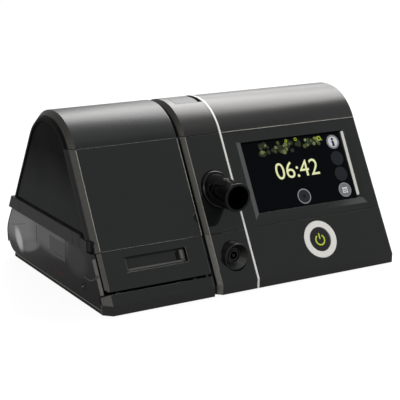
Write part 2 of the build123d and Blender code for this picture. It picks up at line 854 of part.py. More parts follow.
slot_end = side_panel_in - 2 * fit

with BuildPart() as sd_card_slot:
    add(block(
        slot_start, slot_end, card_y - card_width / 2 - slot_wall - fit,
        card_y + card_width / 2 + slot_wall + fit, board_top + fit,
        card_low + card_thickness + fit + slot_wall,
    ))
    add(block(
        card_in - fit, far, card_y - card_width / 2 - fit, card_y + card_width / 2 + fit,
        card_low - fit / 2, card_low + card_thickness + fit,
    ), mode=Mode.SUBTRACT)
save(sd_card_slot, "sd_card_slot")

with BuildPart() as sd_card:
    with BuildSketch(Plane.XY.offset(card_low + fit / 2)):
        with BuildLine():
            Polyline(
                (card_in + 4, card_y - card_width / 2), (card_out, card_y - card_width / 2),
                (card_out, card_y + card_width / 2), (card_in, card_y + card_width / 2),
                (card_in, card_y - card_width / 2 + 4), close=True,
            )
        make_face()
    extrude(amount=card_thickness - fit / 2)
save(sd_card, "sd_card")

# ---------------------------------------------------- blower unit: outlet and tube socket
with BuildPart() as outlet_tube:
    with BuildSketch(outlet_start):
        Circle(outlet_radius)
    extrude(amount=outlet_joint - outlet_mouth)
    fillet(outlet_tube.edges().filter_by(GeomType.CIRCLE).sort_by(Axis.Y)[0], 0.6)
    with BuildSketch(tube_plane(outlet_height, cone_end)):
        Circle(root_radius)
    extrude(amount=outlet_joint - cone_end)
    with BuildSketch(outlet_start):
        Circle(outlet_bore)
    extrude(amount=far, mode=Mode.SUBTRACT)
save(outlet_tube, "outlet_tube")

with BuildPart() as outlet_collar:
    with BuildSketch(outlet_start):
        Circle(collar_radius)
        Circle(root_radius + touch, mode=Mode.SUBTRACT)
    extrude(amount=far)
    add(case_slice(device_left, trim_left, -collar_proud), mode=Mode.INTERSECT)
    add(case_slice(device_left, trim_left, wall), mode=Mode.SUBTRACT)
    add(side_prism(device_left, trim_left, region_front_high), mode=Mode.INTERSECT)
    rims = outlet_collar.edges().filter_by(GeomType.ELLIPSE).sort_by(Axis.Y)[:2]
    fillet(rims.sort_by(Edge.length)[-1], collar_rounding)
save(outlet_collar, "outlet_collar")

return_path = [
    (device_left + fit, return_y, outlet_height), (strip_x, return_y, outlet_height),
    (strip_x, outlet_joint + touch, outlet_height),
]

with BuildPart() as return_duct:
    with BuildLine():
        return_line = FilletPolyline(*return_path, radius=duct_bend)
    with BuildSketch(Plane(origin=return_line @ 0, z_dir=return_line % 0)):
        Circle(root_radius)
        Circle(outlet_bore, mode=Mode.SUBTRACT)
    sweep()
save(return_duct, "return_duct")

with BuildPart() as outlet_seal:
    with BuildSketch(tube_plane(outlet_height, outlet_joint - seal_length / 2)):
        Circle(root_radius + touch + seal_thickness)
        Circle(root_radius + touch, mode=Mode.SUBTRACT)
    extrude(amount=seal_length)
save(outlet_seal, "outlet_seal")

bowl_end = socket_mouth + socket_bowl
socket_end = socket_mouth + socket_length

with BuildPart() as tube_heater_socket:
    with BuildSketch(tube_plane(socket_height, socket_mouth)):
        Circle(socket_radius)
    extrude(amount=socket_length)
    fillet(tube_heater_socket.edges().filter_by(GeomType.CIRCLE).sort_by(Axis.Y)[0], 0.5)
    with BuildSketch(tube_plane(socket_height, socket_mouth)):
        Circle(socket_radius - socket_lip)
    with BuildSketch(tube_plane(socket_height, bowl_end)):
        Circle(socket_throat)
    loft(mode=Mode.SUBTRACT)
    with BuildSketch(tube_plane(socket_height, bowl_end - touch)):
        Circle(socket_throat - 0.6)
        Circle(socket_ring, mode=Mode.SUBTRACT)
    extrude(amount=1.5, mode=Mode.SUBTRACT)
    with BuildSketch(tube_plane(socket_height, bowl_end - touch)):
        Circle(socket_ring - 1)
        Circle(socket_pin_radius, mode=Mode.SUBTRACT)
        Circle(socket_pin_bore)
    extrude(amount=socket_length / 2, mode=Mode.SUBTRACT)
save(tube_heater_socket, "tube_heater_socket")

# ------------------------------------------------------------------ blower unit: blower
chamber_radius = volute_radius - volute_wall
chamber_low = volute_low + volute_wall
cover_low = volute_high - volute_wall
spout_height = volute_low + supply_radius + fit
spout_end = blower_x - volute_radius - spout_length
motor_floor = motor_low + volute_wall
motor_bore = motor_radius - volute_wall
bearing_house = bearing_radius + volute_wall
lower_bearing_top = motor_floor + touch + bearing_width
upper_bearing_low = volute_low - bearing_width + 1
upper_bearing_top = upper_bearing_low + bearing_width
spout_plane = Plane(origin=(blower_x, supply_y, spout_height), x_dir=(0, 1, 0), z_dir=(-1, 0, 0))

with BuildPart() as volute_lower:
    add(disc(blower_x, blower_y, volute_low, cover_low, volute_radius))
    with BuildSketch(spout_plane):
        Circle(supply_radius)
    extrude(amount=blower_x - spout_end)
    add(disc(blower_x, blower_y, motor_low, volute_low, motor_radius))
    for ear_x, ear_y in isolator_places:
        add(disc(ear_x, ear_y, volute_low, volute_low + ear_thickness, isolator_radius + 1))
    add(disc(blower_x, blower_y, chamber_low, volute_high, chamber_radius), mode=Mode.SUBTRACT)
    with BuildSketch(spout_plane):
        Circle(supply_bore)
    extrude(amount=blower_x - spout_end, mode=Mode.SUBTRACT)
    add(disc(blower_x, blower_y, motor_floor, volute_low, motor_bore), mode=Mode.SUBTRACT)
    add(disc(blower_x, blower_y, motor_low, lower_bearing_top, bearing_house))
    add(disc(blower_x, blower_y, upper_bearing_low - touch, volute_low, bearing_house))
    add(disc(blower_x, blower_y, motor_floor, lower_bearing_top, bearing_radius),
        mode=Mode.SUBTRACT)
    add(disc(blower_x, blower_y, upper_bearing_low - touch, upper_bearing_top + touch,
             bearing_radius), mode=Mode.SUBTRACT)
    add(disc(blower_x, blower_y, volute_low, chamber_low, shaft_radius + fit), mode=Mode.SUBTRACT)
save(volute_lower, "volute_lower")

with BuildPart() as volute_cover:
    add(disc(blower_x, blower_y, cover_low + touch, volute_high, volute_radius, inlet_radius))
    add(disc(blower_x, blower_y, cover_low - volute_wall, cover_low + touch,
             chamber_radius - touch, chamber_radius - volute_wall))
    with BuildSketch(spout_plane):
        Circle(supply_radius)
    extrude(amount=blower_x - spout_end, mode=Mode.SUBTRACT)
save(volute_cover, "volute_cover")

shaft_low = motor_floor + 2 * touch
impeller_low = chamber_low + 1.2
impeller_top = impeller_low + impeller_height

with BuildPart() as motor_shaft:
    add(disc(blower_x, blower_y, shaft_low, impeller_top, shaft_radius))
    chamfer(motor_shaft.edges().filter_by(GeomType.CIRCLE), 0.3)
save(motor_shaft, "motor_shaft")

with BuildPart() as motor_bearings:
    add(disc(blower_x, blower_y, motor_floor + touch, lower_bearing_top, bearing_radius - touch,
             shaft_radius + run_fit))
    add(disc(blower_x, blower_y, upper_bearing_low, upper_bearing_top, bearing_radius - touch,
             shaft_radius + run_fit))
save(motor_bearings, "motor_bearings")

rotor_low = lower_bearing_top + rotor_gap
rotor_high = upper_bearing_low - rotor_gap

with BuildPart() as motor_rotor:
    add(disc(blower_x, blower_y, rotor_low, rotor_high, rotor_radius, shaft_radius))
save(motor_rotor, "motor_rotor")

slot_count = 6
slot_depth = 4.0

with BuildPart() as motor_stator:
    add(disc(blower_x, blower_y, motor_floor + touch, rotor_high, motor_bore - touch,
             rotor_radius + rotor_gap))
    with BuildSketch(Plane.XY.offset(motor_floor)):
        with Locations((blower_x, blower_y)):
            with PolarLocations(rotor_radius + rotor_gap + slot_depth / 2, slot_count):
                Rectangle(slot_depth + 2, slot_depth / 2)
    extrude(amount=volute_low, mode=Mode.SUBTRACT)
save(motor_stator, "motor_stator")

blade_end = 40              # turn of each blade from hub to tip, in degrees

with BuildSketch() as blade_section:
    with BuildLine():
        RadiusArc(
            (impeller_hub - 1, 0),
            (impeller_radius * cos(radians(blade_end)), impeller_radius * sin(radians(blade_end))),
            impeller_radius,
        )
    trace(line_width=blade_thickness)

with BuildPart() as impeller:
    add(disc(blower_x, blower_y, impeller_low, impeller_low + impeller_disc, impeller_radius))
    add(disc(blower_x, blower_y, impeller_low, impeller_top, impeller_hub))
    with BuildSketch(Plane.XY.offset(impeller_low)):
        with Locations((blower_x, blower_y)):
            with PolarLocations(0, blade_count):
                add(blade_section.sketch)
    extrude(amount=impeller_height - 0.5)
    add(disc(blower_x, blower_y, impeller_low, impeller_top, impeller_radius),
        mode=Mode.INTERSECT)
    add(disc(blower_x, blower_y, impeller_low, impeller_top, shaft_radius), mode=Mode.SUBTRACT)
save(impeller, "impeller")

with BuildPart() as blower_isolators:
    for ear_x, ear_y in isolator_places:
        add(disc(ear_x, ear_y, isolator_foot + touch, volute_low - touch, isolator_radius))
        add(disc(ear_x, ear_y, isolator_foot + 3, volute_low - 3, isolator_radius + 1,
                 isolator_radius - 1), mode=Mode.SUBTRACT)
save(blower_isolators, "blower_isolators")

supply_path = [
    (spout_end - touch, supply_y, spout_height), (supply_drop_x, supply_y, spout_height),
    (supply_drop_x, supply_y, port_height), (device_left + fit, supply_y, port_height),
]

with BuildPart() as supply_duct:
    with BuildLine():
        supply_line = FilletPolyline(*supply_path, radius=duct_bend)
    with BuildSketch(Plane(origin=supply_line @ 0, z_dir=supply_line % 0)):
        Circle(supply_radius)
        Circle(supply_bore, mode=Mode.SUBTRACT)
    sweep()
save(supply_duct, "supply_duct")

foam_left, foam_right = blower_x - foam_width / 2, blower_x + foam_width / 2
foam_front, foam_back = blower_y - foam_ahead, back_y - foam_from_back
foam_low = volute_high + touch
foam_top = foam_low + foam_height

with BuildPart() as intake_foam:
    add(block(foam_left, foam_right, foam_front, foam_back, foam_low, foam_top))
    add(disc(blower_x, blower_y, foam_low, foam_low + foam_height / 2 + 1, inlet_radius),
        mode=Mode.SUBTRACT)
    add(block(
        blower_x - foam_channel / 2, blower_x + foam_channel / 2, blower_y, foam_back,
        foam_low + foam_height / 4, foam_top - foam_height / 4,
    ), mode=Mode.SUBTRACT)
save(intake_foam, "intake_foam")

# ------------------------------------------------------------- blower unit: filter, feet
filter_pocket = wall + filter_thickness - filter_frame / 2

with BuildPart() as air_filter:
    with BuildSketch(back_plane(filter_x, filter_mid, -filter_pocket + touch)):
        Rectangle(filter_width - 2 * fit, filter_height - 2 * fit)
    extrude(amount=filter_pocket - filter_cover_thickness - 2 * fit)
save(air_filter, "air_filter")

grille_pitch = 5.0
grille_rows = int((filter_height - 12) / grille_pitch)
cover_gap = 0.35

with BuildPart() as filter_cover:
    with BuildSketch(back_plane(filter_x, filter_mid, -filter_cover_thickness)):
        Rectangle(filter_width - 2 * cover_gap, filter_height - 2 * cover_gap)
        with GridLocations(1, grille_pitch, 1, grille_rows):
            SlotOverall(filter_width - 14, 2, mode=Mode.SUBTRACT)
    extrude(amount=filter_cover_thickness)
save(filter_cover, "filter_cover")

with BuildPart() as device_feet:
    for foot_x in device_feet_x:
        for foot_y in feet_y:
            add(disc(foot_x, foot_y, 0, ground_clearance + foot_inset, foot_radius))
    fillet(device_feet.edges().filter_by(GeomType.CIRCLE).group_by(Axis.Z)[0], 0.4)
save(device_feet, "device_feet")

# ------------------------------------------------------------------------- humidifier
hum_rear_seam = rim_high + 0.6
flap_high = slope_at(low_seam_height)
side_in = edge_chamfer + wall + fit
clip_right = hum_left + flap_left_trim - fit - touch
tub_left = hum_left + tub_side_inset
tub_right = hum_right - wall - 2 * fit

with BuildPart() as humidifier_top_cover:
    add(hum_shell)
    add(side_prism(-far, far, region_top(hum_rear_seam)), mode=Mode.INTERSECT)
save(humidifier_top_cover, "humidifier_top_cover")

with BuildPart() as humidifier_front_panel:
    add(hum_shell)
    add(side_prism(-far, far, [
        (-far, 0), (0, 0), (0, top_seam_height - half_seam), (-far, top_seam_height - half_seam),
    ]), mode=Mode.INTERSECT)
    add(face_block(
        hum_left - 1, hum_right + 1, flap_high + half_seam, 2 * body_height,
        edge_chamfer + 2 * wall, overcut,
    ), mode=Mode.INTERSECT)
    add(block(
        hum_left - 1, hum_left + flap_left_trim, -far, 0, 0, clip_high + fit,
    ), mode=Mode.SUBTRACT)
    add(side_prism(hum_left - 1, hum_left + 2 * edge_chamfer, [
        (front_y_at(0, edge_chamfer), 0), (0, 0), (0, low_seam_height - half_seam),
        (front_y_at(low_seam_height, edge_chamfer), low_seam_height - half_seam),
    ]), mode=Mode.SUBTRACT)
save(humidifier_front_panel, "humidifier_front_panel")

with BuildPart() as humidifier_side_wall:
    add(case_slice(hum_left + 2 * tub_side_inset, hum_left + 2 * tub_side_inset + wall, side_in))
    add(block(hum_left, hum_right, -far, far, rim_high + side_gap, far), mode=Mode.INTERSECT)
save(humidifier_side_wall, "humidifier_side_wall")

with BuildPart() as humidifier_inner_wall:
    add(case_slice(hum_right - wall, hum_right, wall + fit))
    add(block(hum_left, hum_right, -far, far, hum_rear_seam + half_seam, far), mode=Mode.INTERSECT)
    with BuildSketch(Plane.YZ.offset(hum_right)):
        with Locations(return_port):
            Circle(outlet_bore)
        with Locations(supply_port):
            Circle(supply_bore)
    extrude(amount=-wall, mode=Mode.SUBTRACT)
    with BuildSketch(Plane.YZ.offset(hum_right)):
        with Locations(return_port):
            Circle(outlet_bore + gasket_width)
        with Locations(supply_port):
            Circle(supply_bore + gasket_width)
    extrude(amount=-(gasket_thickness - gasket_proud), mode=Mode.SUBTRACT)
    add(block(
        hum_right - latch_reach - fit - touch, hum_right, latch_left - latch_gap,
        latch_right + latch_gap, 0, latch_high + latch_gap,
    ), mode=Mode.SUBTRACT)
save(humidifier_inner_wall, "humidifier_inner_wall")

with BuildPart() as port_gaskets:
    with BuildSketch(Plane.YZ.offset(hum_right + gasket_proud)):
        with Locations(return_port):
            Circle(outlet_bore + gasket_width - touch)
            Circle(outlet_bore, mode=Mode.SUBTRACT)
        with Locations(supply_port):
            Circle(supply_bore + gasket_width - touch)
            Circle(supply_bore, mode=Mode.SUBTRACT)
    extrude(amount=-gasket_thickness + touch)
save(port_gaskets, "port_gaskets")


def face_lug(x0, x1, reach, deep):
    """Hinge eye round the flap's axis, with a web to a place below it on the slope."""
    with BuildPart() as lug:
        with BuildSketch(Plane.YZ.offset(x0)):
            axis = front_plane(0, hinge_up, -hinge_in).origin
            with Locations((axis.Y, axis.Z)):
                Circle(hinge_eye)
            if reach < hinge_up:
                corners = [
                    front_plane(0, up, -depth).origin
                    for up, depth in (
                        (hinge_up, deep - lug_web), (hinge_up, deep), (reach, deep),
                        (reach, wall - touch), (strip_top, wall - touch),
                        (strip_top, deep - lug_web),
                    )
                ]
                with BuildLine():
                    Polyline(*[(corner.Y, corner.Z) for corner in corners], close=True)
                make_face()
        extrude(amount=x1 - x0)
    return lug.part


def hinge_bore(radius):
    """Round bar on the flap's axis, right across the humidifier."""
    with BuildPart() as bar:
        with BuildSketch(Plane.YZ.offset(hum_left)):
            axis = front_plane(0, hinge_up, -hinge_in).origin
            with Locations((axis.Y, axis.Z)):
                Circle(radius)
        extrude(amount=humidifier_width)
    return bar.part


lug_starts = (hum_left + lug_start, hum_right - lug_start - lug_width)
knuckle_starts = (
    hum_left + lug_start + lug_width + knuckle_gap,
    hum_right - lug_start - lug_width - knuckle_gap - knuckle_width,
)
lug_deep = hinge_in + hinge_eye + lug_web - 0.7

with BuildPart() as humidifier_base:
    add(case_block(hum_left, hum_right))
    add(case_slice(hum_left + edge_chamfer, hum_right + wall, wall), mode=Mode.SUBTRACT)
    add(case_slice(hum_left - wall, hum_left + 2 * edge_chamfer, edge_chamfer + fit),
        mode=Mode.SUBTRACT)
    add(face_block(
        hum_left - 1, hum_right + 1, -far, strip_top, edge_chamfer + wall, overcut,
    ), mode=Mode.INTERSECT)
    add(block(
        hum_left + edge_chamfer / 2, hum_right - 2 * fit, front_y + 2 * undercut, plate_back,
        ground_clearance, ground_clearance + plate_thickness,
    ))
    add(case_slice(hum_right - wall, hum_right, edge_chamfer + fit) & block(
        hum_right - wall, hum_right, -far, plate_back, 0, rim_low - 4 * fit,
    ))
    add(block(
        hum_right - wall, hum_right, front_y_at(0, side_in), plate_back, ground_clearance,
        bend_height,
    ))
    for lug_x in lug_starts:
        add(face_lug(lug_x, lug_x + lug_width, strip_top - 4, lug_deep))
    add(hinge_bore(hinge_pin_radius), mode=Mode.SUBTRACT)
    with BuildSketch(Plane.YZ.offset(hum_right)):
        with Locations((heater_y, heater_height)):
            Circle(heater_radius + touch)
    extrude(amount=-wall, mode=Mode.SUBTRACT)
    for foot_x in hum_feet_x:
        for foot_y in feet_y:
            add(disc(foot_x, foot_y, 0, ground_clearance + foot_inset + touch, foot_radius + touch),
                mode=Mode.SUBTRACT)
save(humidifier_base, "humidifier_base")

recess_x0, recess_x1 = hum_left + recess_left, hum_left + recess_right
skin = 0.7

with BuildPart() as fill_flap:
    add(hum_shell)
    add(face_block(
        hum_left + flap_left_trim, hum_right + 1, flap_low, flap_high + humidifier_width,
        wall + fit, overcut, flap_corner,
    ), mode=Mode.INTERSECT)
    add(face_block(
        hum_left, hum_right + 1, 0, flap_high - half_seam, edge_chamfer + wall, overcut,
    ), mode=Mode.INTERSECT)
    add(face_block(
        recess_x0 - recess_floor, recess_x1 + recess_floor, recess_low - recess_floor,
        recess_high + recess_floor, recess_depth + recess_floor,
    ))
    add(face_block(recess_x0, recess_x1, recess_low, recess_high, recess_depth, 1, recess_corner),
        mode=Mode.SUBTRACT)
    for lug_x in lug_starts:
        add(face_block(
            lug_x - fit - touch, lug_x + lug_width + fit + touch, 0,
            hinge_up + hinge_eye + 2 * fit, edge_chamfer,
        ) - face_block(lug_x - 1, lug_x + lug_width + 1, 0, far, skin, 1), mode=Mode.SUBTRACT)
    for knuckle_x in knuckle_starts:
        add(face_lug(knuckle_x, knuckle_x + knuckle_width, hinge_up, 0))
    add(hinge_bore(hinge_pin_radius + run_fit), mode=Mode.SUBTRACT)
save(fill_flap, "fill_flap")

with BuildPart() as flap_pins:
    add(hinge_bore(hinge_pin_radius))
    pin_reach = lug_start + lug_width + knuckle_gap + knuckle_width - fit
    add(block(
        hum_left + pin_reach, hum_right - pin_reach, -far, far, 0, body_height,
    ), mode=Mode.SUBTRACT)
    add(block(
        hum_left + lug_start, hum_right - lug_start, -far, far, 0, body_height,
    ), mode=Mode.INTERSECT)
save(flap_pins, "flap_pins")


def tub_outline(inset, top):
    """Side view of the tub: sloping front, rounded heel behind, open above the top."""
    with BuildSketch() as outline:
        with BuildLine():
            toe = (front_y_at(bend_height, tub_front_inset), tub_floor)
            front_top = (front_y_at(top, tub_front_inset), top)
            back_top = (back_y_at(top, tub_back_inset), top)
            heel = (back_y_at(tub_floor, tub_back_inset), tub_floor)
            Polyline(toe, front_top, back_top, heel, close=True)
        make_face()
        fillet(outline.vertices().sort_by(Axis.Y)[:2].sort_by(Axis.X)[-1], tub_heel)
        fillet(outline.vertices().sort_by(Axis.Y).sort_by(Axis.X)[0], tub_toe)
        if inset:
            offset(amount=-inset, kind=Kind.INTERSECTION, mode=Mode.REPLACE)
    return outline.sketch


def tub_slice(x0, x1, inset=0.0, top=rim_low - touch):
    """Solid of the tub's side view between two places across."""
    with BuildPart() as piece:
        with BuildSketch(Plane.YZ.offset(x0)):
            add(tub_outline(inset, top))
        extrude(amount=x1 - x0)
    return piece.part


tub_fin = (
    case_block(hum_left, hum_right)
    & block(tub_left, tub_left + tub_wall, -far, front_y_at(rim_low, side_in), tub_floor,
            rim_low - touch)
    & face_block(hum_left - 1, hum_right, strip_top + 2 * fit, far, 2 * side_in, 1)
)

with BuildPart() as water_tub:
    add(tub_slice(tub_left, tub_right))
    add(tub_slice(tub_left + tub_wall, tub_right - tub_wall, tub_wall, rim_high),
        mode=Mode.SUBTRACT)
    add(tub_fin)
    with BuildSketch(Plane.YZ.offset(tub_left)):
        with Locations((heater_y, heater_height)):
            Circle(heater_boss_radius)
    extrude(amount=tub_wall + heater_boss_length)
    with BuildSketch(Plane.YZ.offset(tub_left)):
        with Locations((heater_y, heater_height)):
            Circle(heater_radius + touch)
    extrude(amount=tub_right - tub_left, mode=Mode.SUBTRACT)
save(water_tub, "water_tub")

with BuildPart() as heater_rod:
    with BuildSketch(Plane.YZ.offset(tub_left + touch)):
        with Locations((heater_y, heater_height)):
            Circle(heater_radius)
    extrude(amount=hum_right - tub_left - 2 * touch)
save(heater_rod, "heater_rod")

rim_right = hum_right - 2 * fit - touch
rim_inner_left, rim_inner_right = hum_left + rim_width, rim_right - rim_width
rim_inner_front = front_y_at(rim_high, tub_front_inset) + rim_width / 2
rim_inner_back = back_y_at(rim_high, rim_width)

with BuildPart() as tub_rim:
    add(case_slice(hum_left, rim_right) & block(
        hum_left, rim_right, rim_front, far, rim_low, rim_high))
    add(case_slice(hum_left + edge_chamfer + fit, rim_right, wall + 2 * fit) & block(
        hum_left, rim_right, -far, rim_front + touch, rim_low, rim_high))
    add(block(
        hum_left, clip_right, rim_end, rim_front + touch, rim_low + touch, rim_high - rim_step))
    add(block(rim_inner_left, rim_inner_right, rim_inner_front, rim_inner_back, 0, body_height),
        mode=Mode.SUBTRACT)
    seal_mid = rim_width / 2
    add(block(
        rim_inner_left - seal_mid - tub_seal_width / 2,
        rim_inner_right + seal_mid + tub_seal_width / 2, rim_front + tub_seal_width,
        rim_inner_back + tub_seal_width, rim_high - 1, body_height,
    ) - block(
        rim_inner_left - seal_mid + tub_seal_width / 2,
        rim_inner_right + seal_mid - tub_seal_width / 2, rim_front + 2 * tub_seal_width,
        rim_inner_back + tub_seal_width / 4, 0, far,
    ), mode=Mode.SUBTRACT)
    for behind in rim_grooves:
        add(block(
            hum_left - 1, hum_left + groove_depth, front_y + behind,
            front_y + behind + groove_width, 0, far,
        ), mode=Mode.SUBTRACT)
save(tub_rim, "tub_rim")

with BuildPart() as tub_seal:
    seal_low = rim_high - 1 + touch
    seal_top = rim_high + 6 * touch
    add(block(
        rim_inner_left - seal_mid - tub_seal_width / 2 + touch,
        rim_inner_right + seal_mid + tub_seal_width / 2 - touch,
        rim_front + tub_seal_width + touch, rim_inner_back + tub_seal_width - touch,
        seal_low, seal_top,
    ))
    add(block(
        rim_inner_left - seal_mid + tub_seal_width / 2 - touch,
        rim_inner_right + seal_mid - tub_seal_width / 2 + touch,
        rim_front + 2 * tub_seal_width - touch, rim_inner_back + tub_seal_width / 4 + touch,
        0, far,
    ), mode=Mode.SUBTRACT)
save(tub_seal, "tub_seal")

with BuildPart() as rim_clip:
    add(block(
        hum_left + tub_side_inset, clip_right, clip_front, rim_end - touch, clip_low, clip_high,
    ))
save(rim_clip, "rim_clip")

with BuildPart() as humidifier_feet:
    for foot_x in hum_feet_x:
        for foot_y in feet_y:
            add(disc(foot_x, foot_y, 0, ground_clearance + foot_inset, foot_radius))
    fillet(humidifier_feet.edges().filter_by(GeomType.CIRCLE).group_by(Axis.Z)[0], 0.4)
save(humidifier_feet, "humidifier_feet")
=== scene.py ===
import json
import math
import random

import bpy
from mathutils import Matrix, Vector


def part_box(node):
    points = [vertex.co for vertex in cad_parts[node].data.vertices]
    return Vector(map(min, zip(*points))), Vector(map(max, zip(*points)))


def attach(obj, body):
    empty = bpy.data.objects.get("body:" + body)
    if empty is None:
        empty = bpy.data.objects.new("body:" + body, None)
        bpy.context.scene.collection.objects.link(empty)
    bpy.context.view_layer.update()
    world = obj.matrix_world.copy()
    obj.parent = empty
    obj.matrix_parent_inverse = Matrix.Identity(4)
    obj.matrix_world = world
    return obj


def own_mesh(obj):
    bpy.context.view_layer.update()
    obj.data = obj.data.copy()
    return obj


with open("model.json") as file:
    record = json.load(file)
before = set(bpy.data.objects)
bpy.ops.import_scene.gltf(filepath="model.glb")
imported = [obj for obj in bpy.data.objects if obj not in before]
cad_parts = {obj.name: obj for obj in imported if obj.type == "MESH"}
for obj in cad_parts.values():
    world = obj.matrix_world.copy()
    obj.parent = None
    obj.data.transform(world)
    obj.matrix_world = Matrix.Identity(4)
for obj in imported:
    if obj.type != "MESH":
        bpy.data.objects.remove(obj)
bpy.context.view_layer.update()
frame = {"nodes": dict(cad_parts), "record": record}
cadNodes = frame["nodes"]
mm = 0.001
random.seed(7)           # the tiles of the display fall the same way each run
print("frame loaded:", len(cadNodes), "nodes")

cameraLook = {
    "eye": (-0.49547, -0.842715, 0.30935),
    "turn": 30.599,      # degrees towards +X from +Y
    "dip": 14.936,
    "roll": 0.161,
    "lens": 110.09, "sensor": 36, "near": 0.05,
}


def addCamera(look):
    turn, dip, roll = (math.radians(look[k]) for k in ("turn", "dip", "roll"))
    ahead = Vector((math.sin(turn) * math.cos(dip), math.cos(turn) * math.cos(dip), -math.sin(dip)))
    level = Vector((math.cos(turn), -math.sin(turn), 0))
    side = level * math.cos(roll) + level.cross(ahead) * math.sin(roll)
    up = side.cross(ahead)
    cam = bpy.data.cameras.new("bedsideCamera")
    cam.lens, cam.sensor_width, cam.clip_start = look["lens"], look["sensor"], look["near"]
    camera = bpy.data.objects.new("bedsideCamera", cam)
    bpy.context.scene.collection.objects.link(camera)
    rows = Matrix((side, up, -ahead)).transposed().to_4x4()
    camera.matrix_world = Matrix.Translation(look["eye"]) @ rows
    bpy.context.scene.camera = camera


studioLook = {
    "world": (0.50, 0.507, 0.51),
    "worldPower": 0.86,
    "boxes": {
        # towards the light, distance, width, height, radiance, colour
        "overheadBox": ((0.49, 0.385, 0.78), 1.6, 1.3, 0.78, 9.6, (1.0, 0.985, 0.97)),
        "backBox": ((0.627, 0.650, 0.43), 2.0, 1.5, 0.8, 2.6, (1.0, 0.99, 0.98)),
        "leftBox": ((-0.85, -0.34, 0.40), 1.7, 0.9, 0.8, 1.1, (1.0, 0.96, 0.88)),
        "edgeBox": ((-0.30, -0.64, 0.71), 1.6, 0.85, 0.22, 7.0, (1.0, 0.98, 0.93)),
        "rightBox": ((0.83, -0.37, 0.42), 1.8, 0.8, 0.9, 1.1, (0.97, 1.0, 1.0)),
        "topFill": ((0.10, -0.25, 0.96), 2.4, 2.4, 2.2, 0.5, (1.0, 1.0, 1.0)),
    },
    "aim": (0.0, -0.02, 0.07),
}


def addLight(name, aim, towards, distance, width, height, radiance, colour):
    towards = Vector(towards).normalized()
    lamp = bpy.data.lights.new(name, "AREA")
    lamp.shape, lamp.size, lamp.size_y = "RECTANGLE", width, height
    lamp.energy = radiance * math.pi * width * height
    lamp.color = colour
    light = bpy.data.objects.new(name, lamp)
    bpy.context.scene.collection.objects.link(light)
    light.location = Vector(aim) + towards * distance
    light.rotation_mode = "QUATERNION"
    light.rotation_quaternion = towards.to_track_quat("Z", "Y")
    light.visible_camera = False


def addStudio(look):
    world = bpy.data.worlds.new("paleRoom")
    bpy.context.scene.world = world
    world.use_nodes = True
    sky = world.node_tree.nodes["Background"]
    sky.inputs["Color"].default_value = (*look["world"], 1)
    sky.inputs["Strength"].default_value = look["worldPower"]
    for name, setting in look["boxes"].items():
        addLight(name, look["aim"], *setting)
    bpy.context.scene.view_settings.view_transform = "Standard"


addCamera(cameraLook)
addStudio(studioLook)
print("camera and studio ready")


def startMaterial(name):
    mat = bpy.data.materials.new(name)
    mat.use_nodes = True
    return mat, mat.node_tree, mat.node_tree.nodes["Principled BSDF"]


def addNode(tree, kind, **settings):
    made = tree.nodes.new(kind)
    for key, value in settings.items():
        setattr(made, key, value)
    return made


def feed(tree, socket, value):
    # a socket takes a colour, a number or what another node puts out
    if isinstance(value, tuple):
        socket.default_value = (*value, 1)
    elif isinstance(value, (int, float)):
        socket.default_value = value
    else:
        tree.links.new(value, socket)


def feedAll(tree, node, values):
    for name, value in values.items():
        feed(tree, node.inputs[name], value)


def addNoise(tree, size, detail=2.0, stretch=(1, 1, 1)):
    place = addNode(tree, "ShaderNodeTexCoord")
    mapping = addNode(tree, "ShaderNodeMapping")
    mapping.inputs["Scale"].default_value = stretch
    tree.links.new(place.outputs["Object"], mapping.inputs["Vector"])
    noise = addNode(tree, "ShaderNodeTexNoise")
    feedAll(tree, noise, {"Scale": 1 / size, "Detail": detail, "Vector": mapping.outputs["Vector"]})
    return noise.outputs["Fac"]


def spread(tree, value, low, high, fromLow=0.3, fromHigh=0.7):
    made = addNode(tree, "ShaderNodeMapRange")
    feedAll(tree, made, {"Value": value, "From Min": fromLow, "From Max": fromHigh,
                         "To Min": low, "To Max": high})
    return made.outputs["Result"]


def joinNumbers(tree, operation, first, second):
    made = addNode(tree, "ShaderNodeMath", operation=operation)
    feed(tree, made.inputs[0], first)
    feed(tree, made.inputs[1], second)
    return made.outputs["Value"]


def placeAlong(tree, direction, start=0.0):
    # a number that grows along a direction through the object
    place = addNode(tree, "ShaderNodeTexCoord")
    dot = addNode(tree, "ShaderNodeVectorMath", operation="DOT_PRODUCT")
    dot.inputs[1].default_value = direction
    tree.links.new(place.outputs["Object"], dot.inputs[0])
    return joinNumbers(tree, "ADD", dot.outputs["Value"], start)


def blendTone(tree, share, first, second):
    mix = addNode(tree, "ShaderNodeMix", data_type="RGBA")
    for socket, value in ((0, share), (6, first), (7, second)):
        feed(tree, mix.inputs[socket], value)
    return mix.outputs[2]


def blendNumber(tree, share, first, second):
    mix = addNode(tree, "ShaderNodeMix", data_type="FLOAT")
    for socket, value in ((0, share), (2, first), (3, second)):
        feed(tree, mix.inputs[socket], value)
    return mix.outputs[0]


def toneRamp(tree, value, stops):
    ramp = addNode(tree, "ShaderNodeValToRGB")
    held = ramp.color_ramp.elements
    for n, (position, tone) in enumerate(stops):
        stop = held[n] if n < 2 else held.new(position)      # a new ramp has two stops
        stop.position, stop.color = position, (*tone, 1)
    tree.links.new(value, ramp.inputs["Fac"])
    return ramp.outputs["Color"]


def shade(tone, share):
    return tuple(c * share for c in tone)


def addGrain(tree, shader, look, under=None):
    # fine bump, on top of another normal where there is one
    bump = addNode(tree, "ShaderNodeBump")
    feedAll(tree, bump, {"Strength": look["bump"], "Distance": look["depth"] * mm,
                         "Height": addNoise(tree, look["grainSize"])})
    if under:
        tree.links.new(under, bump.inputs["Normal"])
    tree.links.new(bump.outputs["Normal"], shader.inputs["Normal"])


